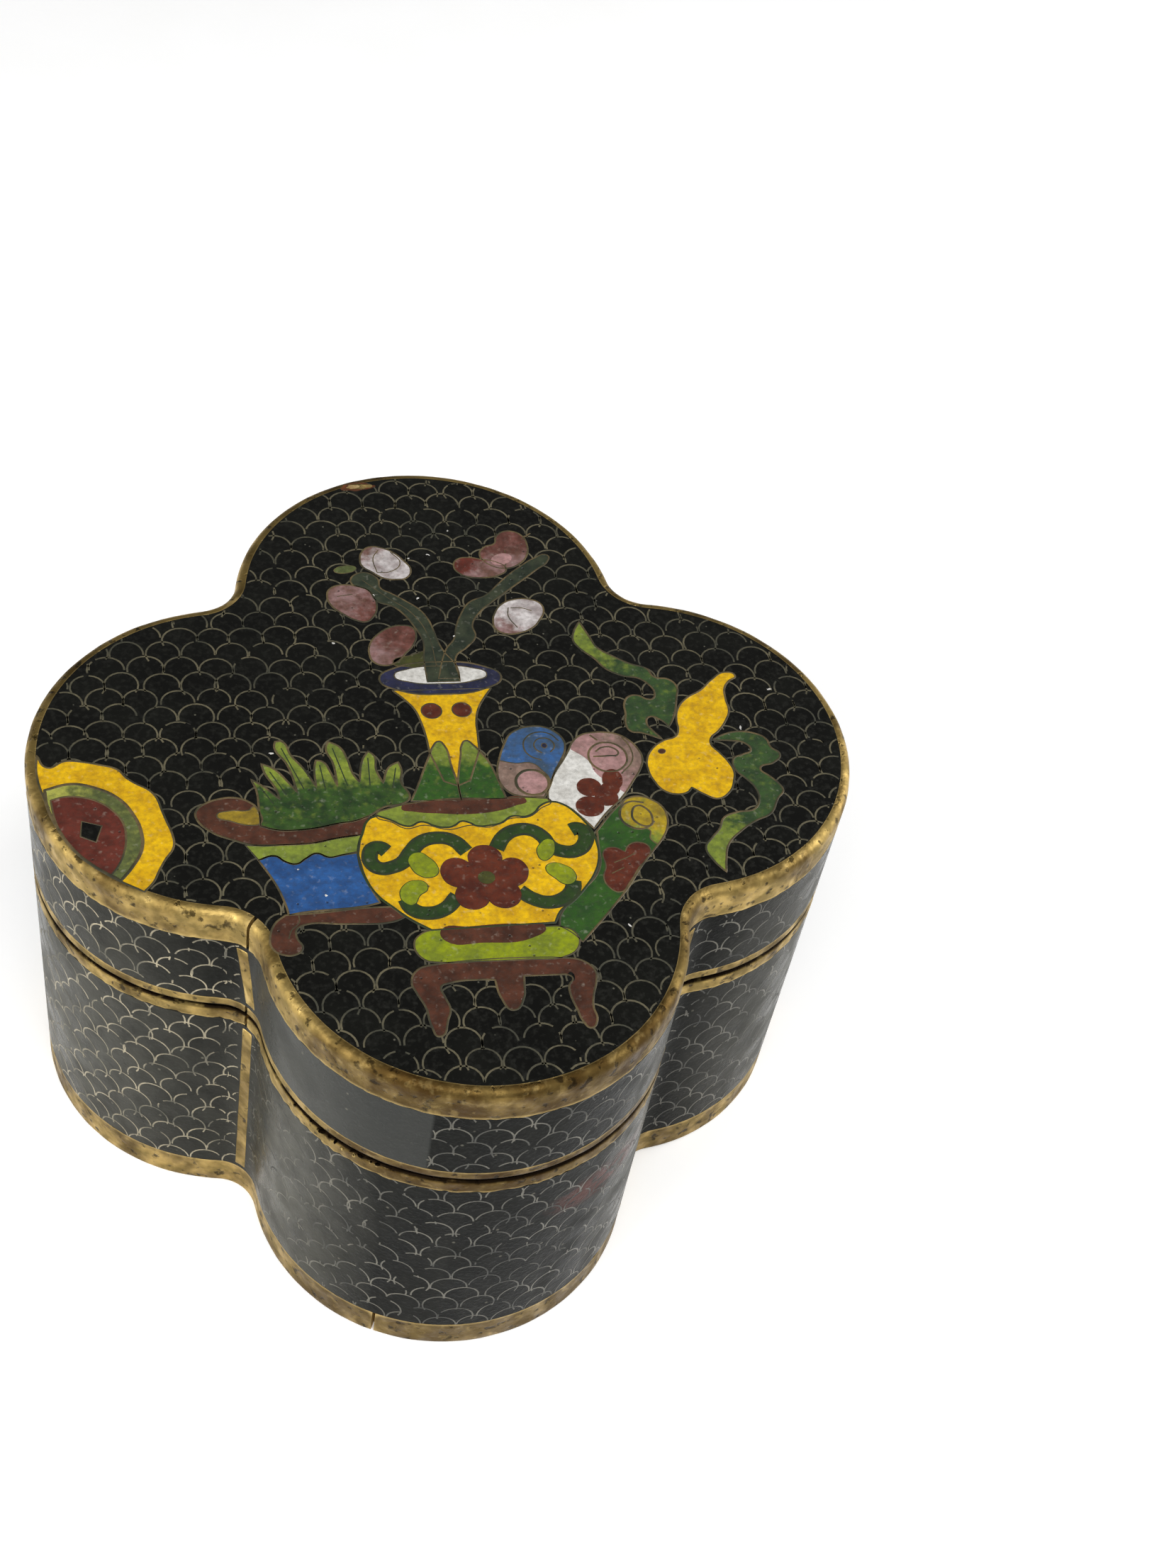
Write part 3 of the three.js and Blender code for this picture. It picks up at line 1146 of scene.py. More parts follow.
soilLine = [
    (-16.5, -9.4), (-14.7, -9.5), (-12.9, -9.3), (-11.1, -8.9), (-9.7, -8.7),
]  # under the grass, inside the rim
rimUnderside = [
    (-9.2, -10.3, 1), (-11.5, -10.6), (-13.3, -11), (-16, -11.1),
]  # where the rim meets the lime band
bandWave = [
    (-16.9, -12.3), (-16, -13), (-15.1, -13.3), (-14.2, -12.7), (-13.3, -12.2), (-12.2, -12.7),
    (-11.1, -12.5),
]  # where the lime band meets the blue
planter = {
    "rim": [
        (-23.4, -7.6), (-23.3, -6.8), (-22.4, -6), (-21.3, -5.6), (-20.1, -5.5), (-18.8, -6), (-18, -7),
        (-17.9, -8.9, 1), *soilLine, (-8.3, -8.2, 1), *rimUnderside, (-18.6, -11), (-20.4, -10.3),
        (-22.2, -9.3),
    ],
    "wedge": [
        (-21.6, -7.5), (-20.4, -7), (-18.8, -7), (-18.3, -6.6), (-17.9, -7.2), (-17.8, -8.5),
        (-18.6, -8.75), (-20.4, -8.2),
    ],
    "band": [
        (-19.3, -11, 1), (-18.3, -12.7, 1), *bandWave, (-9.6, -12.3, 1), *rimUnderside,
    ],
    "body": [
        (-18.3, -12.7, 1), (-17, -15.4), (-16.3, -17.7), (-16.1, -18.8, 1), (-15.1, -18.6),
        (-9.7, -18.2), (-8.3, -17.9, 1), (-9.2, -15.4), (-9.7, -12.2, 1), *reversed(bandWave),
    ],
    "foot": [
        (-16.4, -18.8, 1), (-13.3, -18.7), (-9.7, -18.4), (-7.4, -18.4, 1), (-6.4, -19.6, 1),
        (-7.4, -20), (-11.5, -20), (-14.9, -19.9), (-15.6, -20.4), (-15.6, -21.3), (-15.2, -22.3),
        (-15.7, -22.9), (-16.9, -22.9), (-17.75, -22.1), (-17.8, -20.9), (-17.3, -19.6),
    ],
    "legShade": [(-15.3, -18.9, 1), (-15.3, -19.6), (-16, -20.4), (-16.3, -21.3)],
}


def layPlanter():
    pieces = edgedCell(planter["rim"], enamel("woodRed"), 1)
    pieces += edgedCell(planter["wedge"], enamel("wedgeYellow"), 2, 0.14)
    pieces += edgedCell(planter["band"], enamel("lime"), 1)
    pieces += edgedCell(planter["body"], enamel("blue"), 2)
    pieces += edgedCell(planter["foot"], enamel("woodRed"), 3)
    pieces += [wireAlong(planter["legShade"], width=0.14)]
    finishPicture("planter_cells", pieces)


layPlanter()

grass = {
    "mass": [
        (-17.9, -7, 1), (-17.85, -8.85, 1), *soilLine, (-8.2, -8.1, 1), (-6.9, -7.2), (-5.1, -6.8),
        (-4.5, -6.2), (-5.1, -4.3), (-4.9, -2.9), (-5.1, -1.9, 1), (-6, -2.5), (-6.7, -4.4, 1),
        (-7.2, -2.7), (-7.2, -1.1), (-7.7, -0.5, 1), (-8.3, -1.5), (-8.8, -4.2, 1), (-9.3, -3.2),
        (-9.7, -1.25), (-10.3, 0.2), (-11.2, 0.8, 1), (-11.5, 0), (-11, -1.8), (-10.8, -4.6, 1),
        (-11.3, -2.9), (-11.9, -1.6), (-12.5, -1.4, 1), (-12.7, -2.3), (-12.7, -4.6, 1), (-13.6, -2.5),
        (-14.7, -0.7), (-15.4, 1), (-16, 1, 1), (-16.1, 0.2), (-15.1, -1.8), (-14.4, -5.2, 1),
        (-15.25, -3.75), (-16.3, -2.3), (-17.4, -1.6, 1), (-17.1, -2.9), (-16.3, -4.6), (-16, -5.9, 1),
        (-17.3, -4.4), (-18.4, -3.4, 1), (-18, -4.8),
    ],
    "veins": [
        [(-17.7, -4.3), (-16.6, -6.4)], [(-16.7, -2.6), (-15.4, -5.4)], [(-15.5, 0.2), (-13.8, -4.8)],
        [(-12.2, -2), (-11.9, -5)], [(-10.9, 0), (-9.9, -4.6)], [(-7.8, -1.3), (-7.9, -4.6)],
        [(-5.4, -2.6), (-5.9, -5)],
    ],
}


def layGrass():
    blades = blendedEnamel("lime", "grassGreen", (0, -3.2), (0, -5.2))
    pieces = edgedCell(grass["mass"], blades, 2)
    dark = wireFinish("dark_vein", (46, 62, 32), (34, 46, 26), 0.0)
    for vein in grass["veins"]:
        pieces.append(wireAlong(vein, width=0.12, material=dark))
    finishPicture("grass_cells", pieces)


layGrass()

vase = {
    "neck": [
        (-4.7, 7, 1), (-3.7, 5.8), (-2.9, 4.5), (-2.5, 3), (-2.25, 1.3), (-2.1, -0.9, 1),
        (-1.2, -4.4, 1), (0, -5, 1), (1.2, -4.4, 1), (2.5, -0.8, 1), (2.6, 1.3), (2.7, 3), (3.1, 4.5),
        (3.8, 5.8), (4.6, 7, 1),
    ],
    "leftLappet": [
        (-1.1, 0.45), (-1.75, -0.2), (-2.15, -1.2), (-2.7, -2.5), (-3.4, -4.3), (-4.4, -6.6, 1),
        (0.1, -6.7, 1), (0, -4.7), (-0.3, -2.7), (-0.7, 0),
    ],
    "rightLappet": [
        (1.4, 0.45), (0.9, -0.2), (0.7, -1.3), (0.4, -2.7), (0.05, -4.8), (0.1, -6.7, 1),
        (4.2, -6.7, 1), (4, -5.7), (3.6, -3.8), (3.2, -2.3), (2.6, -1.1), (2, -0.1),
    ],
    "mouth": oval(0, 8.5, 5.8, 2.1),
    "well": oval(0.05, 8.9, 4.4, 1.15),
    "dots": [oval(-1.35, 4.3, 0.95, 0.95), oval(1.5, 4.35, 0.9, 0.9)],
}


def layVase():
    lappet = blendedEnamel("lime", "green", (0, -1.6), (0, -3.2))
    pieces = edgedCell(vase["neck"], enamel("yellow"), 1)
    pieces += edgedCell(vase["leftLappet"], lappet, 2)
    pieces += edgedCell(vase["rightLappet"], lappet, 2)
    pieces += edgedCell(vase["mouth"], enamel("navy"), 2)
    pieces += edgedCell(vase["well"], enamel("white"), 3, 0.14)
    for dot in vase["dots"]:
        pieces += edgedCell(dot, enamel("petalRed"), 2, 0.12)
    finishPicture("vase_cells", pieces)


layVase()

branches = {
    "left": [
        (-7.3, 21.7), (-5.7, 20.5), (-5, 19), (-3.5, 18.2), (-2.5, 17), (-1.7, 15.3), (-1.1, 13.4),
        (-1.3, 11), (-1.3, 8, 1), (1.8, 8, 1), (1.7, 10), (0.7, 12), (0.3, 13.3), (0, 15), (-0.3, 16.3),
        (-1, 17.7), (-2.3, 19), (-3.5, 20), (-4.5, 20.8), (-4.7, 22.2), (-6.2, 23),
    ],
    "right": [
        (1, 12.3), (1.9, 13.6), (2.3, 15.2), (3, 17), (4, 18.6), (5.8, 19.6), (7.1, 21), (8.3, 22.3),
        (10, 23.8), (11.2, 24.7), (12.75, 25.2), (12.6, 24.3), (11.4, 23.2), (9.5, 21.5), (8, 20.2),
        (6.3, 18.7), (4.9, 17.3), (3.9, 15.5), (4, 13.9), (3, 12.5), (1.8, 11.3), (1.8, 8.4, 1),
        (-0.2, 8.4, 1),
    ],
    "tip": oval(-7.7, 23.5, 1.1, 0.5, 10),
    "stem": [(-0.8, 11.9), (-2.3, 11.6), (-4.3, 10.6), (-3.2, 10.1), (-1.5, 10.2)],
    "veins": [
        [(-6.2, 22), (-3.8, 19.3), (-1.9, 17.4), (-0.6, 14.4), (-0.2, 10)],
        [(1.4, 11.6), (3, 14.8), (5.2, 18.4), (8.8, 21.9), (12, 24.6)],
        [(7.75, 19.7), (7.6, 18.5)],
    ],
}


def layBranches():
    pieces = edgedCell(branches["left"], enamel("branchGreen"), 4)
    pieces += edgedCell(branches["right"], enamel("branchGreen"), 4.5)
    pieces += edgedCell(branches["tip"], enamel("ringGreen"), 4, 0.12)
    pieces += edgedCell(branches["stem"], enamel("flowerCentre"), 3, 0.12)
    for vein in branches["veins"]:
        pieces.append(wireAlong(vein, width=0.14))
    finishPicture("branch_cells", pieces)


layBranches()

buds = {
    "white": [
        (-6.1, 25), (-5.8, 26), (-5, 26.7), (-3.8, 26.5), (-2.7, 25.8), (-1.8, 24.6), (-1.25, 23.4),
        (-1.8, 22.2), (-2.8, 22), (-4, 22.2), (-5.1, 23.1), (-6, 24),
    ],
    "pink": [
        (-9.75, 19.7), (-9.4, 20.8), (-8.3, 21.3), (-6.8, 21.1), (-5.7, 20.5), (-5.2, 19.4),
        (-5.1, 18.1), (-5.6, 16.8), (-6.3, 16.2), (-7.2, 16.4), (-8.5, 17.4), (-9.4, 18.4),
    ],
    "red": [
        (-6.4, 11.7), (-6.2, 13.2), (-5.4, 14.4), (-4.2, 15.3), (-3, 15.6), (-2, 15.3), (-1.7, 14.4),
        (-2.2, 12.8), (-3, 11.8), (-3.8, 10.8), (-5, 10.3), (-6.1, 10.8),
    ],
    "right": [
        (6, 15.6), (6.4, 17.2), (7.2, 18.3), (8.4, 18.9), (10, 18.9), (11, 18.3), (11.2, 17.3),
        (10.6, 16), (9.8, 15), (8.4, 14.3), (7.1, 14.2), (6.2, 14.8),
    ],
    "topPart": [
        (5.9, 25.3), (6.5, 26.5), (7.6, 27), (7.9, 28), (8.6, 28.7), (9.6, 28.8), (10.5, 28.2),
        (10.9, 26.9), (10.6, 25.1), (9.6, 23.9), (8.4, 23.4), (7, 23.7),
    ],
    "lowPart": [
        (3.1, 23.75), (3.5, 24.7), (4.7, 25), (6, 24.7), (7.2, 24.4), (8.3, 23.3), (7.4, 22.4),
        (5.8, 22.1), (4.5, 22.2), (3.5, 22.8),
    ],
    "lightPetal": oval(8, 24.7, 1.15, 0.75, 25),
    "lines": [
        [(-4.2, 26.2), (-4.8, 25.1), (-4.6, 23)], [(-4.6, 23), (-3.3, 23.1), (-2.2, 24.3), (-3, 25.9)],
        [(-8.8, 19.7), (-7.3, 20)], [(8, 17.75), (9.1, 17.7), (10, 17.3)],
        [(7.75, 17.8), (7.6, 16.6), (8.3, 15)], [(8.5, 26), (8.6, 24.8), (8.2, 23.5)],
        [(10.4, 27.6), (11.5, 28.5)],
    ],
}


def layBuds():
    pieces = edgedCell(buds["white"], blendedEnamel("budPink", "budWhite", (-6, 26), (-4.6, 24.2)), 3)
    pieces += edgedCell(buds["pink"], blendedEnamel("budPink", "budRed", (-8.4, 19.2), (-5.6, 16.6)), 3)
    pieces += edgedCell(buds["red"], blendedEnamel("budPink", "budRed", (-5, 11.2), (-3.4, 13.8)), 3)
    pieces += edgedCell(buds["right"], blendedEnamel("budPink", "budWhite", (6.6, 14.6), (8.2, 16.6)), 3)
    pieces += edgedCell(buds["topPart"], blendedEnamel("budPink", "budRed", (9, 24.4), (8.4, 26.8)), 3)
    pieces += edgedCell(buds["lowPart"], blendedEnamel("red", "budPink", (4.4, 24.4), (6, 22.8)), 4)
    pieces += [cell(buds["lightPetal"], enamel("pink"), 5)]
    for line in buds["lines"]:
        pieces.append(wireAlong(line, width=0.14))
    finishPicture("bud_cells", pieces)


layBuds()

blueEnd = [
    (7.7, -6.7, 1), (5.5, -6.5), (4.5, -5.9), (3.9, -4.8), (3.8, -3.6),
]  # the lower end of the blue scroll
mauveEdge = [
    (11.3, -0.15), (12.2, 0.7), (13.4, 1), (14.5, 1), (15.7, 0.7), (16.75, -0.15), (17.4, -1.3),
    (17.6, -2.3), (17.2, -3.6), (16.3, -5),
]  # round the end of the white scroll
goldEdge = [
    (15.3, -7.2), (16.5, -7), (17.6, -7.5), (18.4, -8.4), (18.6, -9.6),
]  # round the end of the green scroll
scrolls = {
    "blueOuter": [
        (5, 0.1), (5.5, 1), (6.5, 1.7), (7.6, 2), (8.8, 1.9), (9.8, 1.3), (10.5, 0.2), (10.5, -0.9),
        (9.9, -2.3), (9.1, -3.7), (8.4, -5.4), *blueEnd, (4.3, -1.6),
    ],
    "pinkPart": [
        (4.1, -2.1, 1), (5.5, -2.5), (7.2, -2.6), (7.9, -3.4), (8.5, -4.6), *blueEnd,
    ],
    "pinkRoll": oval(6.85, -4.9, 1.5, 1.5),
    # lines: points and width
    "blueLines": [(ringLine(8.6, -0.45, 0.95, -60, 250), 0.14), (ringLine(8.4, -0.5, 1.75, 20, 260), 0.14)],
    "blueEye": oval(8.6, -0.45, 0.25, 0.3),
    "whiteOuter": [
        (10.8, -1.1), *mauveEdge, (14.8, -7.1), (13.2, -8.7), (11.65, -10.6, 1), (10.7, -9.2),
        (9.6, -7.9), (8, -7.1, 1), (8.1, -6.1), (8.6, -4.8), (9.35, -3.4), (10.1, -2.3),
    ],
    "mauvePart": [
        (11, -1, 1), *mauveEdge, (15.2, -6.5, 1), (13.9, -5.2), (12.9, -4), (12.4, -2.4),
    ],
    "mauveRoll": oval(14.35, -2.1, 1.8, 1.8),
    "mauveLines": [
        ([(13, -2), (14.4, -1.95), (15.4, -1.75), (15, -1), (14, -0.9), (13.3, -1.4)], 0.22),
        ([(16.1, 0.3), (16.65, -1), (16.6, -2.6), (15.3, -4.2)], 0.16),
        ([(13.1, 0.7), (13.7, 0)], 0.2),
    ],
    "petalLines": [([(13.4, -5.2), (13.7, -6.3), (12.6, -6.9)], 0.16)],
    "whiteFlower": [
        oval(12, -5.7, 1.15, 1.1), oval(14.3, -4.9, 0.95, 1.3, -10), oval(11.7, -8, 1.3, 1.2),
        oval(13.4, -7, 1.1, 1), oval(13.9, -6, 0.9, 0.8),
    ],
    "greenOuter": [
        (14.5, -7.85), *goldEdge, (18.4, -10.7), (17.8, -11.9), (16.6, -13.4), (15.3, -15),
        (13.6, -17.4), (11.3, -20.15), (8.6, -23.1, 1), (7.8, -22.1), (6.85, -21.3, 1), (7.1, -20.15),
        (9.15, -17.85), (11.3, -15.35), (11.75, -12.3), (11.85, -10.9, 1), (13.4, -9),
    ],
    "goldPart": [
        (14.6, -8, 1), *goldEdge, (18.3, -11.1), (17.2, -12.8, 1), (16.6, -12), (16.7, -11),
        (15.4, -10.7), (14.4, -9.7),
    ],
    "goldRoll": [(15.6, -10), (15.45, -8.9), (16.1, -8.1), (16.9, -8.6), (17.2, -9.6), (16.85, -10.5)],
    "goldLines": [(ringLine(15.9, -9.2, 1.65, 60, 330), 0.2)],
    "greenFlower": [
        (12.1, -13.2), (13, -12.85), (14, -13.4, 1), (14.5, -12.65), (15.5, -12.4), (16.3, -13),
        (16.1, -14), (15, -15.2), (13.8, -16.9), (12.8, -17.9), (11.9, -17.3), (11.6, -16.2), (12, -15),
    ],
    "greenLines": [
        ([(12.8, -14.6), (14.2, -14), (14.9, -13.6)], 0.14),
        ([(12.4, -15.8), (13.6, -15.2)], 0.14),
    ],
}


def layLines(lines):
    return [wireAlong(points, width=width) for points, width in lines]


def layBlueScroll():
    pieces = edgedCell(scrolls["blueOuter"], enamel("scrollBlue"), 1)
    pieces += edgedCell(scrolls["pinkPart"], enamel("mauve"), 2, 0.12)
    pieces += edgedCell(scrolls["pinkRoll"], enamel("pink"), 3, 0.3)
    pieces += layLines(scrolls["blueLines"])
    pieces += edgedCell(scrolls["blueEye"], enamel("navy"), 3, 0.1)
    finishPicture("blue_scroll_cells", pieces)


def layWhiteScroll():
    mauve = blendedEnamel("mauve", "pink", (16.5, -0.5), (13, -1.5))
    pieces = edgedCell(scrolls["whiteOuter"], enamel("white"), 1)
    pieces += [cell(scrolls["mauvePart"], mauve, 2)]
    pieces += edgedCell(scrolls["mauveRoll"], enamel("pink"), 3, 0.24)
    pieces += layLines(scrolls["mauveLines"])
    for level, petal in enumerate(scrolls["whiteFlower"]):
        pieces += [cell(petal, enamel("petalRed"), 4 + 0.4 * level)]
    pieces += layLines(scrolls["petalLines"])
    finishPicture("white_scroll_cells", pieces)


def layGreenScroll():
    pieces = edgedCell(scrolls["greenOuter"], enamel("green"), 1)
    gold = blendedEnamel("spiralYellow", "lime", (17.4, -10.4), (16.6, -12.2))
    pieces += edgedCell(scrolls["goldPart"], gold, 2, 0.12)
    pieces += layLines(scrolls["goldLines"])
    pieces += edgedCell(scrolls["goldRoll"], enamel("spiralYellow"), 3, 0.24)
    pieces += edgedCell(scrolls["greenFlower"], enamel("petalRed"), 3, 0.14)
    pieces += layLines(scrolls["greenLines"])
    finishPicture("green_scroll_cells", pieces)


layBlueScroll()
layWhiteScroll()
layGreenScroll()

gourd = {
    "body": [
        (27.8, 8.4), (28.7, 7.9), (27.9, 7.2), (27.3, 6.3), (27.1, 4.9), (27.1, 3.3), (26.5, 2),
        (25.6, 0.8), (24.6, -0.2), (24.5, -1), (25.1, -2), (25.75, -3.3), (26, -4.4), (25.75, -5.5),
        (25.1, -6.8), (23.8, -7.6), (22.6, -7), (21.6, -6.15, 1), (21.1, -6.7), (20, -6.9),
        (18.9, -6.4), (18.2, -5.2), (17.9, -3.9), (18, -2.6), (18.8, -1.2), (19.95, -0.3), (21.3, 0.25),
        (21.7, 1.1), (21.75, 2.2), (22.2, 3.8), (23.3, 5.1), (24.9, 6.1), (26.2, 7.4),
    ],
    "pit": oval(19.6, -1.6, 0.35, 0.28, 20),
}
ribbons = {
    "left": [
        (14.5, 15.7, 1), (13.7, 14.2), (13.5, 13.1), (14, 12), (15.2, 10.6), (16.1, 9.2), (17.7, 8.2),
        (19, 7.9), (19.95, 6.95), (20.3, 6), (19.95, 5.1), (19.4, 5.1), (18.6, 5.6), (17.7, 5.5),
        (17.1, 4.6), (17, 3.3), (16.8, 1.95), (17.1, 1.05), (18.1, 0.8), (19.95, -0.1, 1), (19.2, 1.05),
        (18.8, 1.95), (19.2, 2.8), (20.2, 2.4), (20.9, 1.5, 1), (21.6, 2.8), (22.3, 5.1), (22.6, 6.7),
        (22, 7.6), (20.6, 8), (20.1, 9.1), (18.6, 9.8), (16.9, 11), (15.7, 12.1), (15.2, 13.5),
    ],
    "right": [
        (24.7, -0.4, 1), (25.9, 0.25), (27.4, 0.6), (29, 0.3), (29.95, -0.4), (30.2, -1.5),
        (30.9, -2.4), (30.1, -3.4), (28.6, -4.1), (29.3, -5.1), (29.95, -6), (30.2, -6.9), (29.5, -7.8),
        (28.4, -9.6), (26.8, -10.4), (25.2, -11.5), (23.7, -13), (23.1, -14.7), (22.8, -16.2, 1),
        (21.9, -14.8), (21.5, -13.3), (22.3, -12.2), (23.2, -11.2), (23.9, -9.9), (25.3, -9.3),
        (27, -9), (27.7, -7.8), (27.6, -6.4), (26.9, -5.2), (26.2, -4.2), (26.3, -2.8), (27.3, -2.3),
        (28.2, -1.8), (27.8, -0.9), (26.4, -0.5),
    ],
}


def layGourd():
    left = blendedEnamel("lime", "ribbonGreen", (15, 13), (18.6, 8.6))
    right = blendedEnamel("lime", "ribbonGreen", (23.2, -11.5), (26, -9.4))
    finishPicture("left_ribbon_cells", edgedCell(ribbons["left"], left, 1))
    finishPicture("right_ribbon_cells", edgedCell(ribbons["right"], right, 1))
    pieces = edgedCell(gourd["body"], enamel("yellow"), 2)
    pieces += edgedCell(gourd["pit"], enamel("woodRed"), 3, 0.1)
    finishPicture("gourd_cells", pieces)


layGourd()

censer = {
    "body": [
        (-7.6, -8.2, 1), (-8.4, -8.6), (-9.1, -10.2), (-9.6, -11.8), (-9.65, -13.3), (-9.3, -15.1),
        (-8.5, -17), (-7.2, -18.5), (-5.8, -19.9), (-4.2, -21.1, 1), (6.5, -20.9, 1), (7.2, -19.65),
        (8.4, -18.7), (9.7, -17.3), (10.9, -15.6), (11.5, -14), (11.6, -12.2), (11.2, -10.4),
        (10.3, -8.8), (9.3, -7.7), (8.2, -7.3), (7.2, -7.7), (6.5, -8.5), (5.7, -8.9), (4.35, -8.85),
        (3.4, -9.55), (2.2, -9.8), (1.1, -9.8), (0.5, -9.4), (-0.2, -9.2), (-0.85, -9.65),
        (-1.5, -9.85), (-2.8, -9.55), (-3.35, -9.2), (-3.9, -9.1), (-4.8, -9.55), (-5.5, -9.4),
        (-6.4, -8.8),
    ],
    "collar": [
        (-7.7, -8.2), (-6.4, -7.4), (-3.4, -6.75), (0, -6.5), (3, -6.7), (7.2, -6.8), (8.2, -7.2),
        (7.2, -8), (6, -8.95), (4.2, -9.1), (2.2, -10), (0.6, -9.7), (-1.4, -10.1), (-3.6, -9.5),
        (-5.2, -9.8), (-6.4, -9),
    ],
    "mouth": [
        (-5.4, -7.4), (-3.35, -6.8), (-0.1, -6.55), (3, -6.75), (6, -7), (4.9, -7.6), (3.4, -8.1),
        (0.5, -8.4), (-2, -8.2), (-4.2, -7.9),
    ],
    "base": [
        (-3.4, -21.1), (-3.2, -22.3), (0, -22.7), (4.4, -22.4), (5.6, -21.3), (3.8, -20.9), (-1, -20.9),
    ],
    "saucer": [
        (-5.85, -22.5), (-5.2, -21.5), (-4, -21.1), (0, -21.4), (5.5, -21.3), (7, -21.4), (8.1, -22.1),
        (8.2, -23.4), (7.2, -24.4), (3.4, -24.65), (-0.5, -24.6), (-3.9, -24.5), (-5.2, -24.1),
    ],
    "petals": [
        oval(1.35, -13.5, 1.5, 1.45), oval(-1.25, -15, 1.45, 1.65, 15), oval(3.55, -15.2, 1.4, 1.6, -15),
        oval(-0.25, -17.6, 1.5, 1.5, -20), oval(2.5, -17.6, 1.5, 1.5, 20),
    ],
    "flowerGround": oval(1.2, -15.7, 2.3, 2.3),
    "centre": oval(1.2, -15.7, 0.75, 0.7),
    "leaves": [
        [
            (-5.3, -13.1), (-5.2, -14.3), (-4.5, -15.2), (-3.7, -15.4), (-3, -15), (-3, -14.1),
            (-3.6, -13.2), (-4.4, -12.6),
        ],
        [
            (-6.5, -17.2), (-6, -16.1), (-5.1, -15.7), (-4.2, -16), (-4.1, -16.7), (-4.8, -17.3),
            (-5.5, -18.3), (-6.1, -18.1),
        ],
        [(7.5, -11.7), (6.3, -12.4), (6.1, -13.3), (6.5, -14), (7.2, -13.7), (7.7, -12.7)],
        [(6.6, -14.9), (7.2, -14.4), (8.2, -14.65), (9, -15.4), (9, -16.4), (8.2, -16.8), (7.3, -16.1)],
    ],
    "scrolls": [
        [
            (-7.2, -12.3), (-7.7, -11.85), (-8.3, -11.9), (-8.7, -12.6), (-8.6, -13.6), (-7.9, -14.2),
            (-6.9, -14.1), (-5.9, -13.6), (-5.1, -12.5), (-4.1, -11.4), (-2.6, -11), (-1.2, -11.4),
            (-0.2, -12.7),
        ],
        [(-6.1, -17.6), (-5.6, -18.8), (-4.3, -19.3), (-2.8, -18.9), (-1.6, -17.6)],
        [
            (2.5, -12.5), (3.3, -11.2), (4.4, -10.5), (5.8, -10.5), (6.8, -11.3), (7.4, -12.5),
            (8.4, -13.1), (9.6, -13.1), (10.5, -12.3), (10.7, -11.1), (10.1, -10.5), (9.5, -10.7),
        ],
        [(8.8, -16.4), (8.6, -17.4), (7.6, -18.4), (6.2, -18.7), (4.9, -18.2), (3.9, -17.3)],
    ],
}


def flattenStroke(piece, level):
    # a broad stroke is pressed flat, just above the cell that it lies on
    heights = [vertex.co.z for vertex in piece.data.vertices]
    middle = (min(heights) + max(heights)) / 2
    target = pictureShape["height"] + level * pictureShape["levelStep"]
    for vertex in piece.data.vertices:
        vertex.co.z = target if vertex.co.z > middle - 0.01 * mm else target - 0.05 * mm
    return piece


def layCenser():
    inked = wireFinish("dark_outline", (46, 58, 28), (36, 44, 26), 0.0)
    pieces = edgedCell(censer["collar"], enamel("lime"), 4)
    pieces += edgedCell(censer["body"], enamel("yellow"), 5, 0.28, inked)
    pieces += edgedCell(censer["mouth"], enamel("woodRed"), 5, 0.12)
    pieces += edgedCell(censer["saucer"], enamel("saucerLime"), 5)
    pieces += edgedCell(censer["base"], enamel("woodRed"), 6, 0.12)
    finishPicture("censer_cells", pieces)
    pieces = []
    for scroll in censer["scrolls"]:
        pieces.append(flattenStroke(wireAlong(scroll, width=1.45, material=inked), 7))
        pieces.append(flattenStroke(wireAlong(scroll, width=0.95, material=enamel("scrollGreen")), 8))
    for leaf in censer["leaves"]:
        pieces += [cell(leaf, enamel("saucerLime"), 9), wireAlong(leaf, True, 0.24, inked)]
    pieces += [cell(censer["flowerGround"], enamel("petalRed"), 8.6)]
    for level, petal in enumerate(censer["petals"]):
        pieces += [cell(petal, enamel("petalRed"), 9 + 0.4 * level), wireAlong(petal, True, 0.18)]
    pieces += edgedCell(censer["centre"], enamel("flowerCentre"), 11.5, 0.14)
    finishPicture("censer_scroll_cells", pieces)


layCenser()

stand = {
    "frame": [
        (-5.9, -25.2), (-4.7, -24.75), (7.2, -24.75), (8.4, -25.2), (9.15, -26.2), (9.05, -27.35),
        (8.6, -28.7), (8.4, -29.85), (8.5, -31.2), (7.9, -31.95), (7.3, -31.2), (7, -30), (6.7, -28.7),
        (6.7, -27.6), (7.1, -26.8), (6.6, -26.4, 1), (3, -26.35, 1), (2.9, -27.2), (2.7, -28.5),
        (1.65, -29.75), (0.8, -28.5), (0.5, -26.6, 1), (-0.5, -26.5), (-3.5, -26.7), (-4.1, -27),
        (-3.9, -28.1), (-3.6, -29.3), (-3.9, -30.3), (-4.8, -31.95), (-5.3, -31), (-5.6, -29),
        (-6.2, -27.5), (-6.5, -26.4),
    ],
    "nick": oval(7, -26.7, 0.3, 0.5),
}


def layStand():
    pieces = edgedCell(stand["frame"], enamel("woodRed"), 3)
    pieces += [cell(stand["nick"], blackTop, 4)]
    finishPicture("stand_cells", pieces)


layStand()
print("picture laid")


# wear: white specks in the ground, a chip at the back of the top, solder crumbs

wear = {
    "specks": [
        (3.1, 29), (0.7, 25.5), (-1.3, 25), (-1, 19.3), (-5.3, 19.8), (-9.7, 13.4), (2, 14), (31.7, 6),
        (27.8, 1.1), (-16.4, -0.4), (-15, -13.9), (-12.8, -16.9), (13, -21.6),
    ],
    "chipMiddle": (-5.5, 35.7),
    "solderFrom": 9 * mm,  # along the outline from the front left notch
    "solderTo": 21 * mm,
    "solderBeads": 26,
}


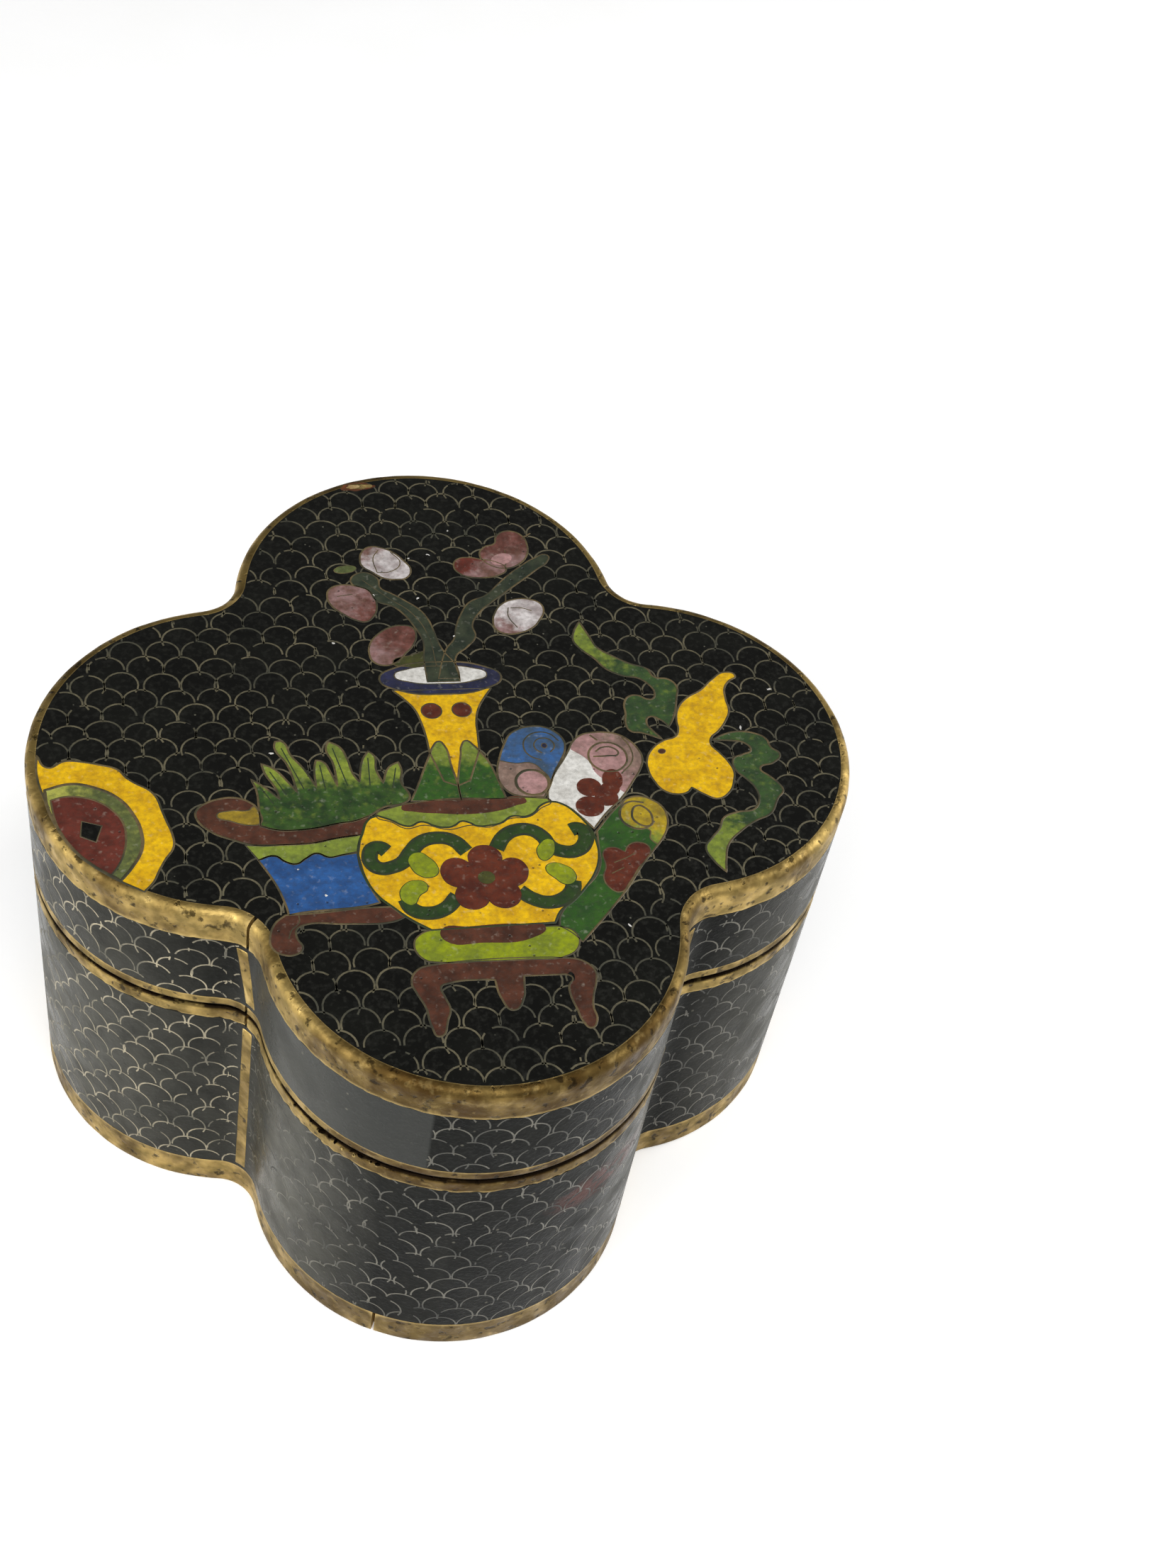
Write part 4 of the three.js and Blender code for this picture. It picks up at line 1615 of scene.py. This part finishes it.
def crumb(spot, size, seed, material):
    deselectAll()
    bpy.ops.mesh.primitive_ico_sphere_add(subdivisions=2, radius=size, location=spot)
    piece = bpy.context.object
    piece.scale = (rng.uniform(0.8, 1.6), rng.uniform(0.5, 1), 0.5)
    piece.rotation_euler = (0, 0, rng.uniform(0, math.pi))
    applyPlace(piece)
    editAll(piece)
    bpy.ops.transform.vertex_random(offset=size * 0.3, seed=seed)
    bpy.ops.object.mode_set(mode="OBJECT")
    dress(piece, material)
    return piece


def raggedOval(x, y, wide, high, turn):
    lean = math.radians(turn)
    points = []
    for angle in range(0, 360, 24):
        reach = rng.uniform(0.75, 1.1)
        along = wide * reach * math.cos(math.radians(angle))
        across = high * reach * math.sin(math.radians(angle))
        points.append((
            x + along * math.cos(lean) - across * math.sin(lean),
            y + along * math.sin(lean) + across,
        ))
    return points


def layWear():
    height = pictureShape["height"]
    spots = []
    for count, (x, y) in enumerate(wear["specks"]):
        size = rng.uniform(0.13, 0.22) * mm
        spots.append(crumb((x * mm, y * mm, height - size * 0.25), size, count, enamel("white")))
    finishPicture("white_specks", spots)
    x, y = wear["chipMiddle"]
    chip = [cell(raggedOval(x, y, 1.8, 0.62, 4), enamel("rust"), 1)]
    chip.append(cell(raggedOval(x + 0.3, y + 0.05, 1.3, 0.42, 3), bandBrass, 2))
    chip.append(cell(raggedOval(x - 0.3, y, 0.7, 0.3, 3), enamel("cream"), 3))
    finishPicture("chipped_enamel", chip)
    beads = []
    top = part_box("body_mouth_band")[1].z
    for count in range(wear["solderBeads"]):
        distance = rng.uniform(wear["solderFrom"], wear["solderTo"])
        spot = outlineAt(distance, rng.uniform(0.05, 0.2) * mm)[0]
        spot.z = top - rng.uniform(0, 0.35) * mm
        beads.append(crumb(spot, rng.uniform(0.12, 0.26) * mm, count + 40, bandBrass))
    solder = joinPieces("solder_crumbs", beads)
    smoothFaces(solder, 40)
    finishPiece(solder, "brass")


layWear()
print("wear added")


# floor and light

studio = {
    "floorSize": 3.0,
    "floor": (246, 246, 246),
    "floorTint": (244, 244, 243),
    "floorGlow": 0.22,
    "sky": 0.16,
    "lights": {
        # place, size, power
        "left_softbox": ((-0.42, -0.2, 0.24), 0.36, 2.3),
        "right_softbox": ((0.46, 0.02, 0.26), 0.36, 2.0),
        "front_softbox": ((-0.05, -0.36, 0.56), 0.4, 2.2),
    },
}


def layFloor():
    deselectAll()
    bpy.ops.mesh.primitive_plane_add(size=studio["floorSize"])
    floor = bpy.context.object
    floor.name = "studio_floor"
    material, shader = newFinish("pale_paper", 0.9)
    where = place(material)
    tint = noise(material, where, 60, 0.3, 0.7)
    paper = mixed(material, tint, tone(*studio["floor"]), tone(*studio["floorTint"]))
    connect(material, paper, shader.inputs["Base Color"])
    connect(material, bump(material, noise(material, where, 900), 0.02 * mm), shader.inputs["Normal"])
    shader.inputs["Emission Color"].default_value = (1, 1, 1, 1)
    shader.inputs["Emission Strength"].default_value = studio["floorGlow"]
    dress(floor, material)


def lightStudio():
    world = bpy.data.worlds.new("studio_world")
    world.use_nodes = True
    sky = world.node_tree.nodes["Background"]
    sky.inputs["Color"].default_value = (1, 1, 1, 1)
    sky.inputs["Strength"].default_value = studio["sky"]
    bpy.context.scene.world = world
    for name, (spot, size, power) in studio["lights"].items():
        bpy.ops.object.light_add(type="AREA", location=spot)
        light = bpy.context.object
        light.name = name
        light.data.size = size
        light.data.energy = power
        aim = Vector((0, 0, 0.02)) - Vector(spot)
        light.rotation_euler = aim.to_track_quat("-Z", "Y").to_euler()


layFloor()
lightStudio()
bpy.context.scene.view_settings.view_transform = "Standard"
print("studio lit")
